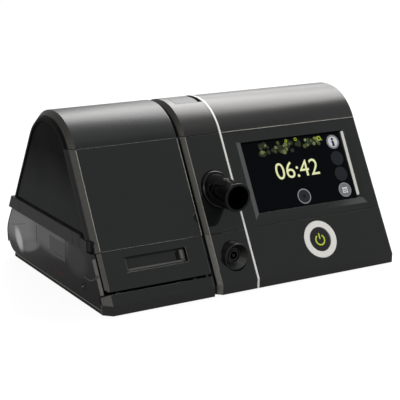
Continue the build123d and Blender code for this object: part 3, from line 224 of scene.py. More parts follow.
flankSpeckAndShade = {
    # the slanted left edge: where it starts and how softly it turns to near-black painted shade in mm,
    # then its specks
    "step": 0.05, "soft": 0.02, "turnSoft": 0.3, "speckSize": 0.0011, "speckSwing": 0.25,
    "paintedShadeTone": (0.0015, 0.0015, 0.0016), "outsideRough": 0.7,
}


# the slanted left side gets its own specked tone, partly a painted reflection of the left light, and
# past its outer line a near-black painted shade
def tintFlank(tree, speckAndShade, flank, colour, gloss):
    across = placeAlong(tree, (1, 0, 0))
    inner, soft = (flank["inner"] + speckAndShade["step"]) * mm, speckAndShade["soft"] * mm
    outer, turnSoft = flank["outer"], speckAndShade["turnSoft"]
    onFlank = spread(tree, across, 1, 0, inner - soft, inner + soft)
    outside = spread(tree, across, 1, 0, (outer - turnSoft) * mm, (outer + turnSoft) * mm)
    speck = spread(tree, addNoise(tree, speckAndShade["speckSize"]), 0, 1)
    flankTint = blendTone(tree, speck, shade(flank["tone"], 1 - speckAndShade["speckSwing"]),
                     shade(flank["tone"], 1 + speckAndShade["speckSwing"]))
    flankTint = blendTone(tree, outside, flankTint, speckAndShade["paintedShadeTone"])
    dull = blendNumber(tree, outside, flank["rough"], speckAndShade["outsideRough"])
    return blendTone(tree, onFlank, colour, flankTint), blendNumber(tree, onFlank, gloss, dull)


commonLook = {
    # what a finish has where it says nothing else: noise sizes in metres, edge and depth in mm
    "cloudSize": 0.03, "cloudDetail": 3, "edgeSamples": 4, "grainSize": 0.0005, "vary": 0.12,
    "roughSwing": 0.04, "edge": 0.35, "bump": 0.12, "depth": 0.02, "metal": 0.0, "shine": 0.5,
}


def mouldedPlastic(name, ownLook):
    mat, tree, shader = startMaterial(name)
    look = {**commonLook, **ownLook}
    tone, rough, swing = look["tone"], look["rough"], look["roughSwing"]
    cloud = addNoise(tree, look["cloudSize"], look["cloudDetail"])
    colour = blendTone(tree, cloud, shade(tone, 1 - look["vary"]), shade(tone, 1 + look["vary"]))
    gloss = spread(tree, cloud, rough - swing, rough + swing)
    if "fade" in look:                      # painted shade: darker towards the back, between two depths in mm
        share, front, back, dull = look["fade"]
        behind = spread(tree, placeAlong(tree, (0, 1, 0)), 0, 1, front * mm, back * mm)
        colour = blendTone(tree, behind, colour, shade(tone, share))
        gloss = blendNumber(tree, behind, gloss, dull)
    if "flank" in look:
        colour, gloss = tintFlank(tree, flankSpeckAndShade, look["flank"], colour, gloss)
    bevel = addNode(tree, "ShaderNodeBevel", samples=look["edgeSamples"])
    bevel.inputs["Radius"].default_value = look["edge"] * mm
    addGrain(tree, shader, look, bevel.outputs["Normal"])
    feedAll(tree, shader, {"Base Color": colour, "Roughness": gloss, "Metallic": look["metal"],
                           "Specular IOR Level": look["shine"]})
    return mat


plasticLooks = {
    "satin_top": {"tone": (0.0365, 0.0362, 0.0358), "rough": 0.28, "metal": 0.75, "bump": 0.08,
                  "grainSize": 0.0004, "vary": 0.03, "roughSwing": 0.01, "edge": 0.15,
                  "fade": (0.88, -40, -24, 0.30)},
    # a darker, cooler copy of satin_top for the humidifier's cover: painted shade, with stronger
    # painted shade towards the back
    "satin_shaded_cool": {"tone": (0.0285, 0.0292, 0.0298), "rough": 0.28, "metal": 0.75, "bump": 0.08,
                   "grainSize": 0.0004, "vary": 0.03, "roughSwing": 0.01, "edge": 0.15,
                   "fade": (0.75, -22, 8, 0.48)},
    "dark_panel": {"tone": (0.0082, 0.0094, 0.0088), "rough": 0.075, "roughSwing": 0.012,
                   "bump": 0.03, "edge": 0.15},
    "case_dark": {"tone": (0.0088, 0.0088, 0.0094), "rough": 0.5, "shine": 0.13, "bump": 0.3},
    "rim_dark": {"tone": (0.0310, 0.0315, 0.0323), "rough": 0.42, "shine": 0.12, "bump": 0.2},
    "pale_trim": {"tone": (0.80, 0.785, 0.755), "rough": 0.35, "vary": 0.03, "bump": 0.05},
    "screen_glass": {"tone": (0.0012, 0.0018, 0.0030), "rough": 0.04, "roughSwing": 0.01,
                     "bump": 0.0, "shine": 0.06},
    "tube_black": {"tone": (0.0014, 0.0015, 0.0015), "rough": 0.14, "roughSwing": 0.03,
                   "bump": 0.03, "shine": 0.28},
    "socket_black": {"tone": (0.0035, 0.0037, 0.0036), "rough": 0.34, "bump": 0.05},
    "button_satin": {"tone": (0.036, 0.038, 0.041), "rough": 0.40, "metal": 0.75, "bump": 0.08,
                     "grainSize": 0.0004, "vary": 0.03, "roughSwing": 0.01, "edge": 0.3},
    # pale metallic beads standing in for light caught on edges: painted highlights, with a dimmer one
    # below
    "edge_highlight": {"tone": (0.34, 0.33, 0.30), "rough": 0.38, "metal": 0.9, "bump": 0.1},
    "gap_shadow_black": {"tone": (0.0006, 0.0006, 0.0006), "rough": 0.8, "shine": 0.02, "bump": 0.05},
    "edge_highlight_dim": {"tone": (0.12, 0.117, 0.11), "rough": 0.40, "metal": 0.9, "bump": 0.1},
    "rubber": {"tone": (0.018, 0.018, 0.018), "rough": 0.75, "bump": 0.4},
    "foam": {"tone": (0.10, 0.10, 0.11), "rough": 0.95, "bump": 1.0, "depth": 0.6,
             "grainSize": 0.0016},
    "filter_cloth": {"tone": (0.75, 0.76, 0.76), "rough": 0.95, "bump": 1.0, "depth": 0.2,
                     "grainSize": 0.0007},
    "inner_plastic": {"tone": (0.16, 0.165, 0.17), "rough": 0.5, "bump": 0.3},
    "circuit_board": {"tone": (0.012, 0.09, 0.035), "rough": 0.35, "bump": 0.5,
                      "grainSize": 0.0012, "vary": 0.35},
    "steel": {"tone": (0.52, 0.52, 0.53), "rough": 0.28, "metal": 1.0, "bump": 0.1},
    "copper": {"tone": (0.72, 0.34, 0.16), "rough": 0.35, "metal": 1.0, "bump": 0.6,
               "grainSize": 0.0009},
    "card_blue": {"tone": (0.012, 0.03, 0.12), "rough": 0.4, "bump": 0.1},
}
smokedLook = {
    # the smoked tone, painted darker low at the front and paler towards the back and the top as painted
    # shade and light: place from 0 to 1, then its tone
    "lean": (0.0, 5.0, 17.9), "start": 0.12,
    "smokeAndLight": ((0.0, (0.010, 0.010, 0.0105)), (0.35, (0.020, 0.020, 0.021)),
              (0.65, (0.052, 0.051, 0.056)), (0.85, (0.115, 0.113, 0.122)),
              (1.0, (0.20, 0.20, 0.215))),
    "cloudSize": 0.02, "cloudStretch": (1, 0.4, 1), "drift": 0.05,
    "clearFrom": 40.0, "clearTo": 74.0, "clearLow": 0.12, "clearHigh": 0.35,      # mm
    "rough": 0.07, "roughSwing": 0.05, "shine": 0.12, "ior": 1.3,
    # painted light and a painted glint on the side wall, standing in for light through the tub: depth,
    # height, half length and width in mm, lean, tone
    "paintedGlows": ((60.0, 31.0, 52.0, 22.0, -8.0, (0.25, 0.248, 0.257)),
              (2.0, 34.5, 48.0, 16.0, 0.0, (0.165, 0.163, 0.172)),
              (-45.0, 30.0, 26.0, 16.0, 0.0, (0.052, 0.052, 0.056)),
              (43.0, 17.6, 27.0, 6.0, -20.0, (0.21, 0.207, 0.212)),
              (67.0, 17.5, 14.0, 8.4, 52.0, (0.66, 0.65, 0.655))),
    "glowFrom": -127.0, "glowTo": -128.5,
}


def softSpot(tree, y, z, long, wide, lean):
    # 1 in the middle of an ellipse on the side wall, falling to 0 at its edge
    c, s = math.cos(math.radians(lean)), math.sin(math.radians(lean))
    along = placeAlong(tree, (0, c / (long * mm), s / (long * mm)), -(y * c + z * s) / long)
    across = placeAlong(tree, (0, -s / (wide * mm), c / (wide * mm)), (y * s - z * c) / wide)
    apart = joinNumbers(tree, "ADD", joinNumbers(tree, "MULTIPLY", along, along),
                        joinNumbers(tree, "MULTIPLY", across, across))
    soft = addNode(tree, "ShaderNodeMapRange", interpolation_type="SMOOTHERSTEP")
    tree.links.new(joinNumbers(tree, "SUBTRACT", 1.0, apart), soft.inputs["Value"])
    return soft.outputs["Result"]


def smokedPlastic(name, look):
    mat, tree, shader = startMaterial(name)
    cloud = addNoise(tree, look["cloudSize"], stretch=look["cloudStretch"])
    paintedLightPlace = joinNumbers(tree, "ADD", placeAlong(tree, look["lean"], look["start"]),
                       spread(tree, cloud, -look["drift"], look["drift"]))
    colour = toneRamp(tree, paintedLightPlace, look["smokeAndLight"])
    clear = spread(tree, placeAlong(tree, (0, 1, 0)), look["clearLow"], look["clearHigh"],
                   look["clearFrom"] * mm, look["clearTo"] * mm)
    onSide = spread(tree, placeAlong(tree, (1, 0, 0)), 1, 0,
                    look["glowTo"] * mm, look["glowFrom"] * mm)
    # each spot paints light into the tone and lets less light through there
    for *spotShape, tone in look["paintedGlows"]:
        spot = joinNumbers(tree, "MULTIPLY", softSpot(tree, *spotShape), onSide)
        colour = blendTone(tree, spot, colour, tone)
        clear = joinNumbers(tree, "MULTIPLY", clear, joinNumbers(tree, "SUBTRACT", 1.0, spot))
    gloss = spread(tree, cloud, look["rough"], look["rough"] + look["roughSwing"])
    feedAll(tree, shader, {"Base Color": colour, "Transmission Weight": clear, "Roughness": gloss,
                           "IOR": look["ior"], "Specular IOR Level": look["shine"]})
    return mat


wallLook = {
    # height in mm from the wall's foot, then its tone: painted shade at the foot by the rim, a painted
    # reflection of the floor in the pale band above, darker again higher up
    "foot": 46.0, "head": 125.0,
    "tones": ((0.0, (0.0006, 0.0006, 0.0006)), (0.045, (0.002, 0.002, 0.002)),
              (0.11, (0.030, 0.031, 0.033)), (0.30, (0.030, 0.031, 0.032)),
              (0.75, (0.0045, 0.0045, 0.0048)), (1.0, (0.0055, 0.0055, 0.0055))),
    "cloudSize": 0.03, "cloudDetail": 3, "drift": 0.015, "rough": 0.5, "roughSwing": 0.04,
    "shine": 0.03, "grainSize": 0.0005, "bump": 0.25, "depth": 0.02,
}


def shadedWallPlastic(name, look):
    mat, tree, shader = startMaterial(name)
    tall = (look["head"] - look["foot"]) * mm
    height = placeAlong(tree, (0, 0, 1 / tall), -look["foot"] * mm / tall)
    cloud = addNoise(tree, look["cloudSize"], look["cloudDetail"])
    place = joinNumbers(tree, "ADD", height, spread(tree, cloud, -look["drift"], look["drift"]))
    gloss = spread(tree, cloud, look["rough"] - look["roughSwing"],
                   look["rough"] + look["roughSwing"])
    addGrain(tree, shader, look)
    feedAll(tree, shader, {"Base Color": toneRamp(tree, place, look["tones"]), "Roughness": gloss,
                           "Specular IOR Level": look["shine"]})
    return mat


finishes = {name: mouldedPlastic(name, look) for name, look in plasticLooks.items()}
finishes["smoked_tub"] = smokedPlastic("smoked_tub", smokedLook)
finishes["shaded_wall"] = shadedWallPlastic("shaded_wall", wallLook)


def paint(piece, mat):
    if not piece.material_slots:
        piece.data.materials.append(mat)
    for held in piece.material_slots:
        held.link = "OBJECT"
        held.material = mat


flankLook = {
    # piece: finish, inner edge of its slanted left side, where that side turns to painted shade, tone,
    # roughness; the pale chamfer tones are partly painted reflection of the left light
    "humidifier_top_cover": ("satin_shaded_cool", -125.5, -129.4, (0.058, 0.056, 0.052), 0.42),
    "humidifier_front_panel": ("dark_panel", -125.5, -129.4, (0.030, 0.029, 0.026), 0.36),
    "fill_flap": ("dark_panel", -125.5, -130.4, (0.045, 0.043, 0.040), 0.38),
    "humidifier_base": ("dark_panel", -125.5, -131.2, (0.060, 0.058, 0.054), 0.40),
    "strip_top_cover": ("satin_top", -32.5, -35.7, (0.058, 0.056, 0.051), 0.42),
    "strip_upper_panel": ("dark_panel", -32.5, -35.7, (0.055, 0.053, 0.048), 0.38),
    "strip_lower_panel": ("dark_panel", -32.5, -35.7, (0.118, 0.115, 0.105), 0.42),
    "heater_rod": ("steel", -130.9, -140.0, (0.016, 0.016, 0.017), 0.45),      # its dark end
}
ownFade = {"strip_top_cover": (1.0, -22, 0, 0.32)}      # duller at the back, and no darker
for node, (base, inner, outer, tone, rough) in flankLook.items():
    look = dict(plasticLooks[base])
    look["flank"] = {"inner": inner, "outer": outer, "tone": tone, "rough": rough}
    if node in ownFade:
        look["fade"] = ownFade[node]
    finishes[node] = mouldedPlastic(f"{base}_{node}", look)

otherFinish = {
    # where a node's finish isn't the one that its slot names
    "tub_rim": "rim_dark", "power_button": "dark_panel", "humidifier_side_wall": "shaded_wall",
    "tube_heater_socket": "socket_black", "release_button": "button_satin",
}
otherFinish.update({node: node for node in flankLook})
for part in frame["record"]["subparts"]:
    chosen = otherFinish.get(part["node"], part["material_slot"])
    paint(cadNodes[part["node"]], finishes[chosen])
print("finishes given:", len(finishes))

floorLook = {
    "size": 14.0, "drop": 0.0005, "tone": (0.09, 0.09, 0.09), "glow": 0.92, "mirrored": 0.30,
    "cloudSize": 0.6, "rough": (0.55, 0.62), "shine": 0.1,
}


def addFloor(look):
    bpy.ops.object.select_all(action="DESELECT")
    bpy.ops.mesh.primitive_plane_add(size=look["size"], location=(0, 0, -look["drop"]))
    floor = bpy.context.active_object
    floor.name = "paleFloor"
    mat, tree, shader = startMaterial("paleFloor")
    gloss = spread(tree, addNoise(tree, look["cloudSize"]), *look["rough"])
    sight = addNode(tree, "ShaderNodeLightPath")         # paler to the eye than in reflections
    glow = spread(tree, sight.outputs["Is Camera Ray"], look["mirrored"], look["glow"], 0, 1)
    feedAll(tree, shader, {"Base Color": look["tone"], "Roughness": gloss,
                           "Specular IOR Level": look["shine"], "Emission Color": (1, 1, 1),
                           "Emission Strength": glow})
    paint(floor, mat)


addFloor(floorLook)

faceShape = {"slope": 60.7, "frontY": -95.0, "bend": 7.8}      # degrees and mm
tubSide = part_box("water_tub")[0][0] / mm


def facePlace(x, up, out=0.0):
    # on the slanted front: x to the right, up along the slope and out of it, in mm
    slope = math.radians(faceShape["slope"])
    across, rise = Vector((1, 0, 0)), Vector((0, math.cos(slope), math.sin(slope)))
    away = across.cross(rise)
    start = Vector((x, faceShape["frontY"], faceShape["bend"])) + rise * up + away * out
    return Matrix.Translation(start * mm) @ Matrix((across, rise, away)).transposed().to_4x4()


def sidePlace(y, z, out=0.0):
    # on the tub's outer side: x runs to the front, y up, z out of the wall
    start = Vector((tubSide - out, y, z))
    turn = Matrix(((0, -1, 0), (0, 0, 1), (-1, 0, 0))).transposed().to_4x4()
    return Matrix.Translation(start * mm) @ turn


def dropSelection():
    bpy.ops.object.select_all(action="DESELECT")


def pickPiece(piece):
    dropSelection()
    piece.select_set(True)
    bpy.context.view_layer.objects.active = piece


def takeNew(name):
    made = bpy.context.active_object
    made.name = name
    made.data.name = name
    return made


def settle(piece, place):
    # the piece goes to its place, which is then held in its mesh
    pickPiece(piece)
    piece.matrix_world = place @ piece.matrix_world
    bpy.ops.object.transform_apply(location=True, rotation=True, scale=True)
    return piece


def finishPiece(piece, mat, body):
    paint(piece, mat)
    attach(piece, body)


def joinPieces(name, pieces):
    dropSelection()
    for piece in pieces:
        piece.select_set(True)
    bpy.context.view_layer.objects.active = pieces[0]
    bpy.ops.object.join()
    return takeNew(name)


def leaveEdit():
    bpy.ops.object.mode_set(mode="OBJECT")


def editAll():
    bpy.ops.object.mode_set(mode="EDIT")
    bpy.ops.mesh.select_all(action="SELECT")


def editChosen(piece, kind, chosen):
    # the faces or edges of the piece that pass the test are selected, in edit mode
    pickPiece(piece)
    bpy.ops.object.mode_set(mode="EDIT")
    bpy.ops.mesh.select_mode(type=kind)
    bpy.ops.mesh.select_all(action="DESELECT")
    leaveEdit()
    for item in piece.data.polygons if kind == "FACE" else piece.data.edges:
        item.select = chosen(item)
    bpy.ops.object.mode_set(mode="EDIT")


def roundEdges(piece, width):
    pickPiece(piece)
    made = piece.modifiers.new("rounding", "BEVEL")
    made.width, made.segments = width * mm, 2
    bpy.ops.object.modifier_apply(modifier=made.name)


litLook = {
    # the fine rows of cells in a lit part of the display
    "cellSize": 0.00045, "cellStretch": (1, 0.3, 0.3), "dark": 0.86, "bright": 1.1, "shine": 0.08,
}


def litMaterial(name, tone, glow, rough=0.25):
    mat, tree, shader = startMaterial(name)
    cells = addNoise(tree, litLook["cellSize"], 0, litLook["cellStretch"])
    colour = blendTone(tree, cells, shade(tone, litLook["dark"]), shade(tone, litLook["bright"]))
    feedAll(tree, shader, {"Base Color": colour, "Emission Color": colour, "Roughness": rough,
                           "Emission Strength": glow, "Specular IOR Level": litLook["shine"]})
    return mat


screenOut = -3.2          # the glass lies this far behind the face

clockLook = {
    "text": "06:42", "left": 42.8, "right": 84.6, "low": 75.6, "high": 89.4,
    "thick": 0.04, "rawThick": 0.02, "curveSteps": 6, "tone": (0.62, 0.64, 0.36), "glow": 0.40,
}


def addClock(look):
    dropSelection()
    bpy.ops.object.text_add(location=(0, 0, 0))
    clock = bpy.context.active_object
    clock.data.body = look["text"]
    clock.data.extrude = look["rawThick"]
    clock.data.resolution_u = look["curveSteps"]
    bpy.ops.object.convert(target="MESH")
    clock = takeNew("clockDigits")
    corners = [Vector(c) for c in clock.bound_box]
    low = Vector([min(c[i] for c in corners) for i in range(3)])
    high = Vector([max(c[i] for c in corners) for i in range(3)])
    wide, tall = look["right"] - look["left"], look["high"] - look["low"]
    scale = Matrix.Diagonal((wide * mm / (high.x - low.x), tall * mm / (high.y - low.y),
                             look["thick"] * mm / (high.z - low.z), 1))
    place = facePlace(look["left"], look["low"], screenOut) @ scale @ Matrix.Translation(-low)
    settle(clock, place)
    digits = litMaterial("clockGlow", look["tone"], look["glow"])
    finishPiece(clock, digits, "blower_unit")


discLook = {"flat": 0.9, "rim": 0.07, "rise": 0.4}      # shares of the radius and the thickness


def startDisc(name, radius, thick, sides):
    dropSelection()
    bpy.ops.mesh.primitive_cylinder_add(vertices=sides, radius=radius * mm, depth=thick * mm,
                                        location=(0, 0, thick * mm / 2))
    return takeNew(name)


def addDisc(name, place, radius, thick, sides=56):
    # a disc with a raised middle
    disc = startDisc(name, radius, thick, sides)
    editChosen(disc, "FACE", lambda face: face.normal.z > discLook["flat"])
    bpy.ops.mesh.inset(thickness=radius * discLook["rim"] * mm, depth=thick * discLook["rise"] * mm)
    leaveEdit()
    return settle(disc, place)


def addBand(name, place, outer, inner, thick, sides=56):
    # a flat ring
    band = startDisc(name, outer, thick, sides)
    editChosen(band, "FACE", lambda face: abs(face.normal.z) > discLook["flat"])
    bpy.ops.mesh.inset(thickness=(outer - inner) * mm)
    bpy.ops.mesh.bridge_edge_loops()
    leaveEdit()
    return settle(band, place)


def addBar(name, place, wide, tall, thick, turn=0.0, corner=0.25):
    # a small bar with rounded corners
    dropSelection()
    bpy.ops.mesh.primitive_cube_add(size=1, location=(0, 0, 0.5))
    bar = takeNew(name)
    bar.scale = (wide * mm, tall * mm, thick * mm)
    bar.location = (0, 0, thick * mm / 2)
    bpy.ops.object.transform_apply(location=True, rotation=False, scale=True)

    def upright(edge):
        a, b = (bar.data.vertices[v].co for v in edge.vertices)
        return abs(a.z - b.z) > thick * mm / 2

    editChosen(bar, "EDGE", upright)
    bpy.ops.mesh.bevel(offset=min(wide, tall) * corner * mm, segments=3)
    leaveEdit()
    return settle(bar, place @ Matrix.Rotation(math.radians(turn), 4, "Z"))


beadLook = {"rings": 3, "smooth": 35}        # steps round the bead, degrees


def addBead(name, path, radius):
    # a fine raised line through a few places, in mm
    curve = bpy.data.curves.new(name, "CURVE")
    curve.dimensions = "3D"
    curve.bevel_depth = radius * mm
    curve.bevel_resolution = beadLook["rings"]
    curve.use_fill_caps = True
    line = curve.splines.new("NURBS")
    line.points.add(len(path) - 1)
    for point, place in zip(line.points, path):
        point.co = (*(Vector(place) * mm), 1)
    line.order_u = 3
    line.use_endpoint_u = True
    made = bpy.data.objects.new(name, curve)
    bpy.context.scene.collection.objects.link(made)
    pickPiece(made)
    bpy.ops.object.convert(target="MESH")
    bead = takeNew(name)
    pickPiece(bead)
    bpy.ops.object.shade_smooth_by_angle(angle=math.radians(beadLook["smooth"]))
    return bead


iconLook = {
    "tones": {"Bright": (0.46, 0.47, 0.49), "Pale": (0.20, 0.205, 0.22),
              "Dim": (0.055, 0.058, 0.064), "Blank": (0.0110, 0.0125, 0.0155)},
    "ink": (0.008, 0.009, 0.011), "glow": 0.45,
    # the round keys: x, up and radius in mm
    "info": (105.5, 101.2, 6.3), "blankA": (105.3, 86.8, 6.1), "blankB": (104.9, 73.2, 6.1),
    "menu": (104.4, 59.5, 6.1), "round": (63.4, 59.3, 6.3),
    # their discs and rings: key, outer and inner share of its radius, thickness, tone
    "rounds": {
        "infoBack": ("info", 1.0, 0.0, 0.03, "Dim"),
        "infoRing": ("info", 0.93, 0.80, 0.05, "Pale"),
        "infoDisc": ("info", 0.74, 0.0, 0.07, "Bright"),
        "blankADisc": ("blankA", 1.0, 0.0, 0.05, "Blank"),
        "blankBDisc": ("blankB", 1.0, 0.0, 0.05, "Blank"),
        "menuDisc": ("menu", 0.84, 0.0, 0.04, "Dim"),
        "menuRing": ("menu", 1.0, 0.84, 0.05, "Pale"),
        "menuInner": ("menu", 0.72, 0.60, 0.07, "Pale"),
        "roundOuter": ("round", 1.0, 0.87, 0.05, "Pale"),
        "roundDisc": ("round", 0.86, 0.0, 0.04, "Blank"),
    },
    # bars of a mark: x and up from the key's middle, height over the glass, width, length
    "letterThick": 0.04, "letterDot": (-0.1, 2.3, 0.09, 1.15, 20),
    "letter": ((0.0, -1.5, 0.09, 2.1, 4.4), (0.0, -3.4, 0.085, 3.2, 0.8),
               (-0.6, 0.5, 0.085, 1.6, 0.8)),
    "sheetThick": 0.05,
    "sheet": ((0.0, 1.5, 0.08, 5.0, 1.5), (-2.0, -0.7, 0.078, 1.0, 3.6),
              (2.0, -0.7, 0.078, 1.0, 3.6), (0.0, -2.2, 0.076, 5.0, 1.0),
              (0.0, -0.5, 0.076, 2.0, 1.2)),
    # rings of dots: share of the key's radius, degrees from dot to dot
    "dotRings": ((0.70, 18), (0.52, 24), (0.34, 36)), "dotTurn": 7, "dotOut": 0.05,
    "dot": (0.26, 0.04, 8), "hub": (0.17, 0.05, 24), "hubOut": 0.05,
}


def addIcons(look):
    lit = {name: litMaterial("icon" + name, tone, look["glow"])
           for name, tone in look["tones"].items()}
    ink = litMaterial("iconInk", look["ink"], 0.0)

    def put(piece, mat):
        finishPiece(piece, mat, "blower_unit")

    def putRounds(*names):
        for name in names:
            key, outer, inner, thick, tone = look["rounds"][name]
            x, up, r = look[key]
            place = facePlace(x, up, screenOut)
            if inner:
                put(addBand(name, place, r * outer, r * inner, thick), lit[tone])
            else:
                put(addDisc(name, place, r * outer, thick), lit[tone])

    def addBars(name, key, bars, thick):
        x, up = look[key][:2]
        return [addBar(f"{name}{n}", facePlace(x + across, up + rise, screenOut + out), wide, tall,
                       thick) for n, (across, rise, out, wide, tall) in enumerate(bars)]

    putRounds("infoBack", "infoRing", "infoDisc")
    x, up = look["info"][:2]
    across, rise, out, radius, sides = look["letterDot"]
    dot = addDisc("letterDot", facePlace(x + across, up + rise, screenOut + out), radius,
                  look["letterThick"], sides)
    letter = addBars("letterBar", "info", look["letter"], look["letterThick"])
    put(joinPieces("infoMark", [dot, *letter]), ink)
    putRounds("blankADisc", "blankBDisc", "menuDisc", "menuRing", "menuInner")
    sheet = addBars("sheetBar", "menu", look["sheet"], look["sheetThick"])
    put(joinPieces("menuMark", sheet), lit["Bright"])
    putRounds("roundOuter")
    x, up, r = look["round"]
    dots = []
    for n, (share, step) in enumerate(look["dotRings"]):
        for turn in range(0, 360, step):
            angle = math.radians(turn + look["dotTurn"] * n)
            place = facePlace(x + r * share * math.cos(angle), up + r * share * math.sin(angle),
                              screenOut + look["dotOut"])
            dots.append(addDisc(f"roundDot{n}x{turn}", place, *look["dot"]))
    put(joinPieces("roundRings", dots), lit["Dim"])
    putRounds("roundDisc")
    share, thick, sides = look["hub"]
    hub = addDisc("roundHub", facePlace(x, up, screenOut + look["hubOut"]), r * share, thick, sides)
    put(hub, ink)


motifLook = {
    "count": 66, "left": 31.0, "right": 96.5, "high": 108.4, "dropLeft": 13.5, "dropRight": 7.0,
    "small": 1.2, "large": 2.6, "crowdLeft": 1.25, "crowdTop": 1.3, "glow": 0.45, "sides": 12,
    "thick": 0.03, "layers": 11, "layerStep": 0.006,
    "tones": ((0.020, 0.026, 0.012), (0.050, 0.065, 0.025), (0.11, 0.135, 0.055),
              (0.20, 0.25, 0.10)),
    "picks": (0, 0, 0, 0, 1, 1, 1, 2, 2, 3), "sizes": (1.0, 0.9, 0.8, 0.65),
    "hoops": ((69.5, 107.4, 1.4), (92.6, 105.6, 2.0), (88.6, 106.2, 1.1), (60.2, 107.0, 1.2)),
    "hoopTone": (0.35, 0.42, 0.03), "hoopInner": 0.62, "hoopOut": 0.08, "hoopThick": 0.04,
    "hoopSides": 20,
}


def addMotif(look):
    # loose rounded tiles along the top of the picture, thinning out downwards
    groups = [[] for _ in look["tones"]]
    for n in range(look["count"]):
        share = random.random() ** look["crowdLeft"]
        drop = look["dropLeft"] + (look["dropRight"] - look["dropLeft"]) * share
        size = look["small"] + (look["large"] - look["small"]) * random.random()
        x = look["left"] + size + (look["right"] - look["left"] - 2 * size) * share
        up = look["high"] - size - (drop - size) * random.random() ** look["crowdTop"]
        pick = random.choice(look["picks"])
        place = facePlace(x, up, screenOut + look["layerStep"] * (n % look["layers"]))
        groups[pick].append(addDisc(f"tile{n}", place, size * look["sizes"][pick], look["thick"],
                                    look["sides"]))
    for n, group in enumerate(groups):
        leaf = litMaterial(f"tileTone{n}", look["tones"][n], look["glow"])
        finishPiece(joinPieces(f"motifTiles{n}", group), leaf, "blower_unit")
    hoops = [addBand(f"hoop{n}", facePlace(x, up, screenOut + look["hoopOut"]), r,
                     r * look["hoopInner"], look["hoopThick"], look["hoopSides"])
             for n, (x, up, r) in enumerate(look["hoops"])]
    lime = litMaterial("hoopGlow", look["hoopTone"], look["glow"])
    finishPiece(joinPieces("motifHoops", hoops), lime, "blower_unit")


stripLook = {
    # pale strip on the steep step at the right of the glass
    "glassEdge": 114.25, "stepWide": 3.4, "stepHigh": 2.6, "share": 0.45, "wide": 2.3,
    "up": 81.2, "long": 55.8, "thick": 0.25, "turn": -0.9, "corner": 0.4, "round": 0.1,
}


def addScreenStrip(look):
    lean = math.atan2(look["stepHigh"], look["stepWide"])
    place = facePlace(look["glassEdge"] + look["share"] * look["stepWide"], look["up"],
                      screenOut + look["share"] * look["stepHigh"])
    strip = addBar("screenStrip", place @ Matrix.Rotation(-lean, 4, "Y"), look["wide"],
                   look["long"], look["thick"], look["turn"], look["corner"])
    roundEdges(strip, look["round"])
    finishPiece(strip, finishes["pale_trim"], "blower_unit")


addClock(clockLook)
addIcons(iconLook)
addMotif(motifLook)
addScreenStrip(stripLook)
print("display picture made")

powerLook = {
    "x": 65.0, "up": 21.5, "radius": 4.1, "stroke": 1.05, "gap": 34, "thick": 0.12, "steps": 48,
    "face": -0.3, "barLow": 0.6, "barHigh": 5.6, "corner": 0.45,
    "weld": 1e-6, "tone": (0.42, 0.50, 0.05), "glow": 0.35, "rough": 0.4,
}


def addPowerMark(look):
    # an open ring of flat stroke, spun from its section, with a bar in its gap
    dropSelection()
    bpy.ops.mesh.primitive_plane_add(size=1)
    arc = takeNew("powerArc")
    arc.data.transform(Matrix.Diagonal((look["stroke"] * mm, look["thick"] * mm, 1, 1)))
    arc.data.transform(Matrix.Rotation(math.pi / 2, 4, "X"))
    arc.data.transform(Matrix.Translation((look["radius"] * mm, 0, look["thick"] * mm / 2)))
    start = math.radians(90 + look["gap"])
    arc.data.transform(Matrix.Rotation(start, 4, "Z"))
    editAll()
    bpy.ops.mesh.spin(steps=look["steps"], angle=-math.radians(360 - 2 * look["gap"]),
                      center=(0, 0, 0), axis=(0, 0, 1), dupli=False)
    bpy.ops.mesh.select_all(action="SELECT")
    bpy.ops.mesh.remove_doubles(threshold=look["weld"])
    bpy.ops.mesh.normals_make_consistent(inside=False)
    leaveEdit()
    settle(arc, facePlace(look["x"], look["up"], look["face"]))
    middle = (look["barLow"] + look["barHigh"]) / 2
    bar = addBar("powerBar", facePlace(look["x"], look["up"] + middle, look["face"]),
                 look["stroke"], look["barHigh"] - look["barLow"], look["thick"], 0, look["corner"])
    glow = litMaterial("powerGlow", look["tone"], look["glow"], look["rough"])
    finishPiece(joinPieces("powerMark", [arc, bar]), glow, "power_key")


addPowerMark(powerLook)
print("power symbol made")

outletLook = {
    "x": -16.5, "z": 73.0, "radius": 11.2, "back": -71.6, "front": -82.0, "half": 13.0,
    "corner": 2, "shoulder": 0.5, "bead": 0.3, "tilt": -2.0,
}


def addOutletMark(look):
    # a U of fine bead, laid over the top of the tube and open to the front; its pale finish is partly a
    # painted highlight
    def onTube(turn, y):
        angle = math.radians(turn + look["tilt"])
        r = look["radius"]
        return (look["x"] + r * math.sin(angle), y, look["z"] + r * math.cos(angle))

    half, front, back = look["half"], look["front"], look["back"]
    depths = (front, (front + back) / 2, back - look["corner"])
    path = [onTube(-half, y) for y in depths]
    path += [onTube(turn * look["shoulder"], back) for turn in (-half, half)]
    path += [onTube(half, y) for y in reversed(depths)]
    mark = addBead("outletMark", path, look["bead"])
    finishPiece(mark, finishes["edge_highlight_dim"], "blower_unit")


addOutletMark(outletLook)
print("outlet mark made")

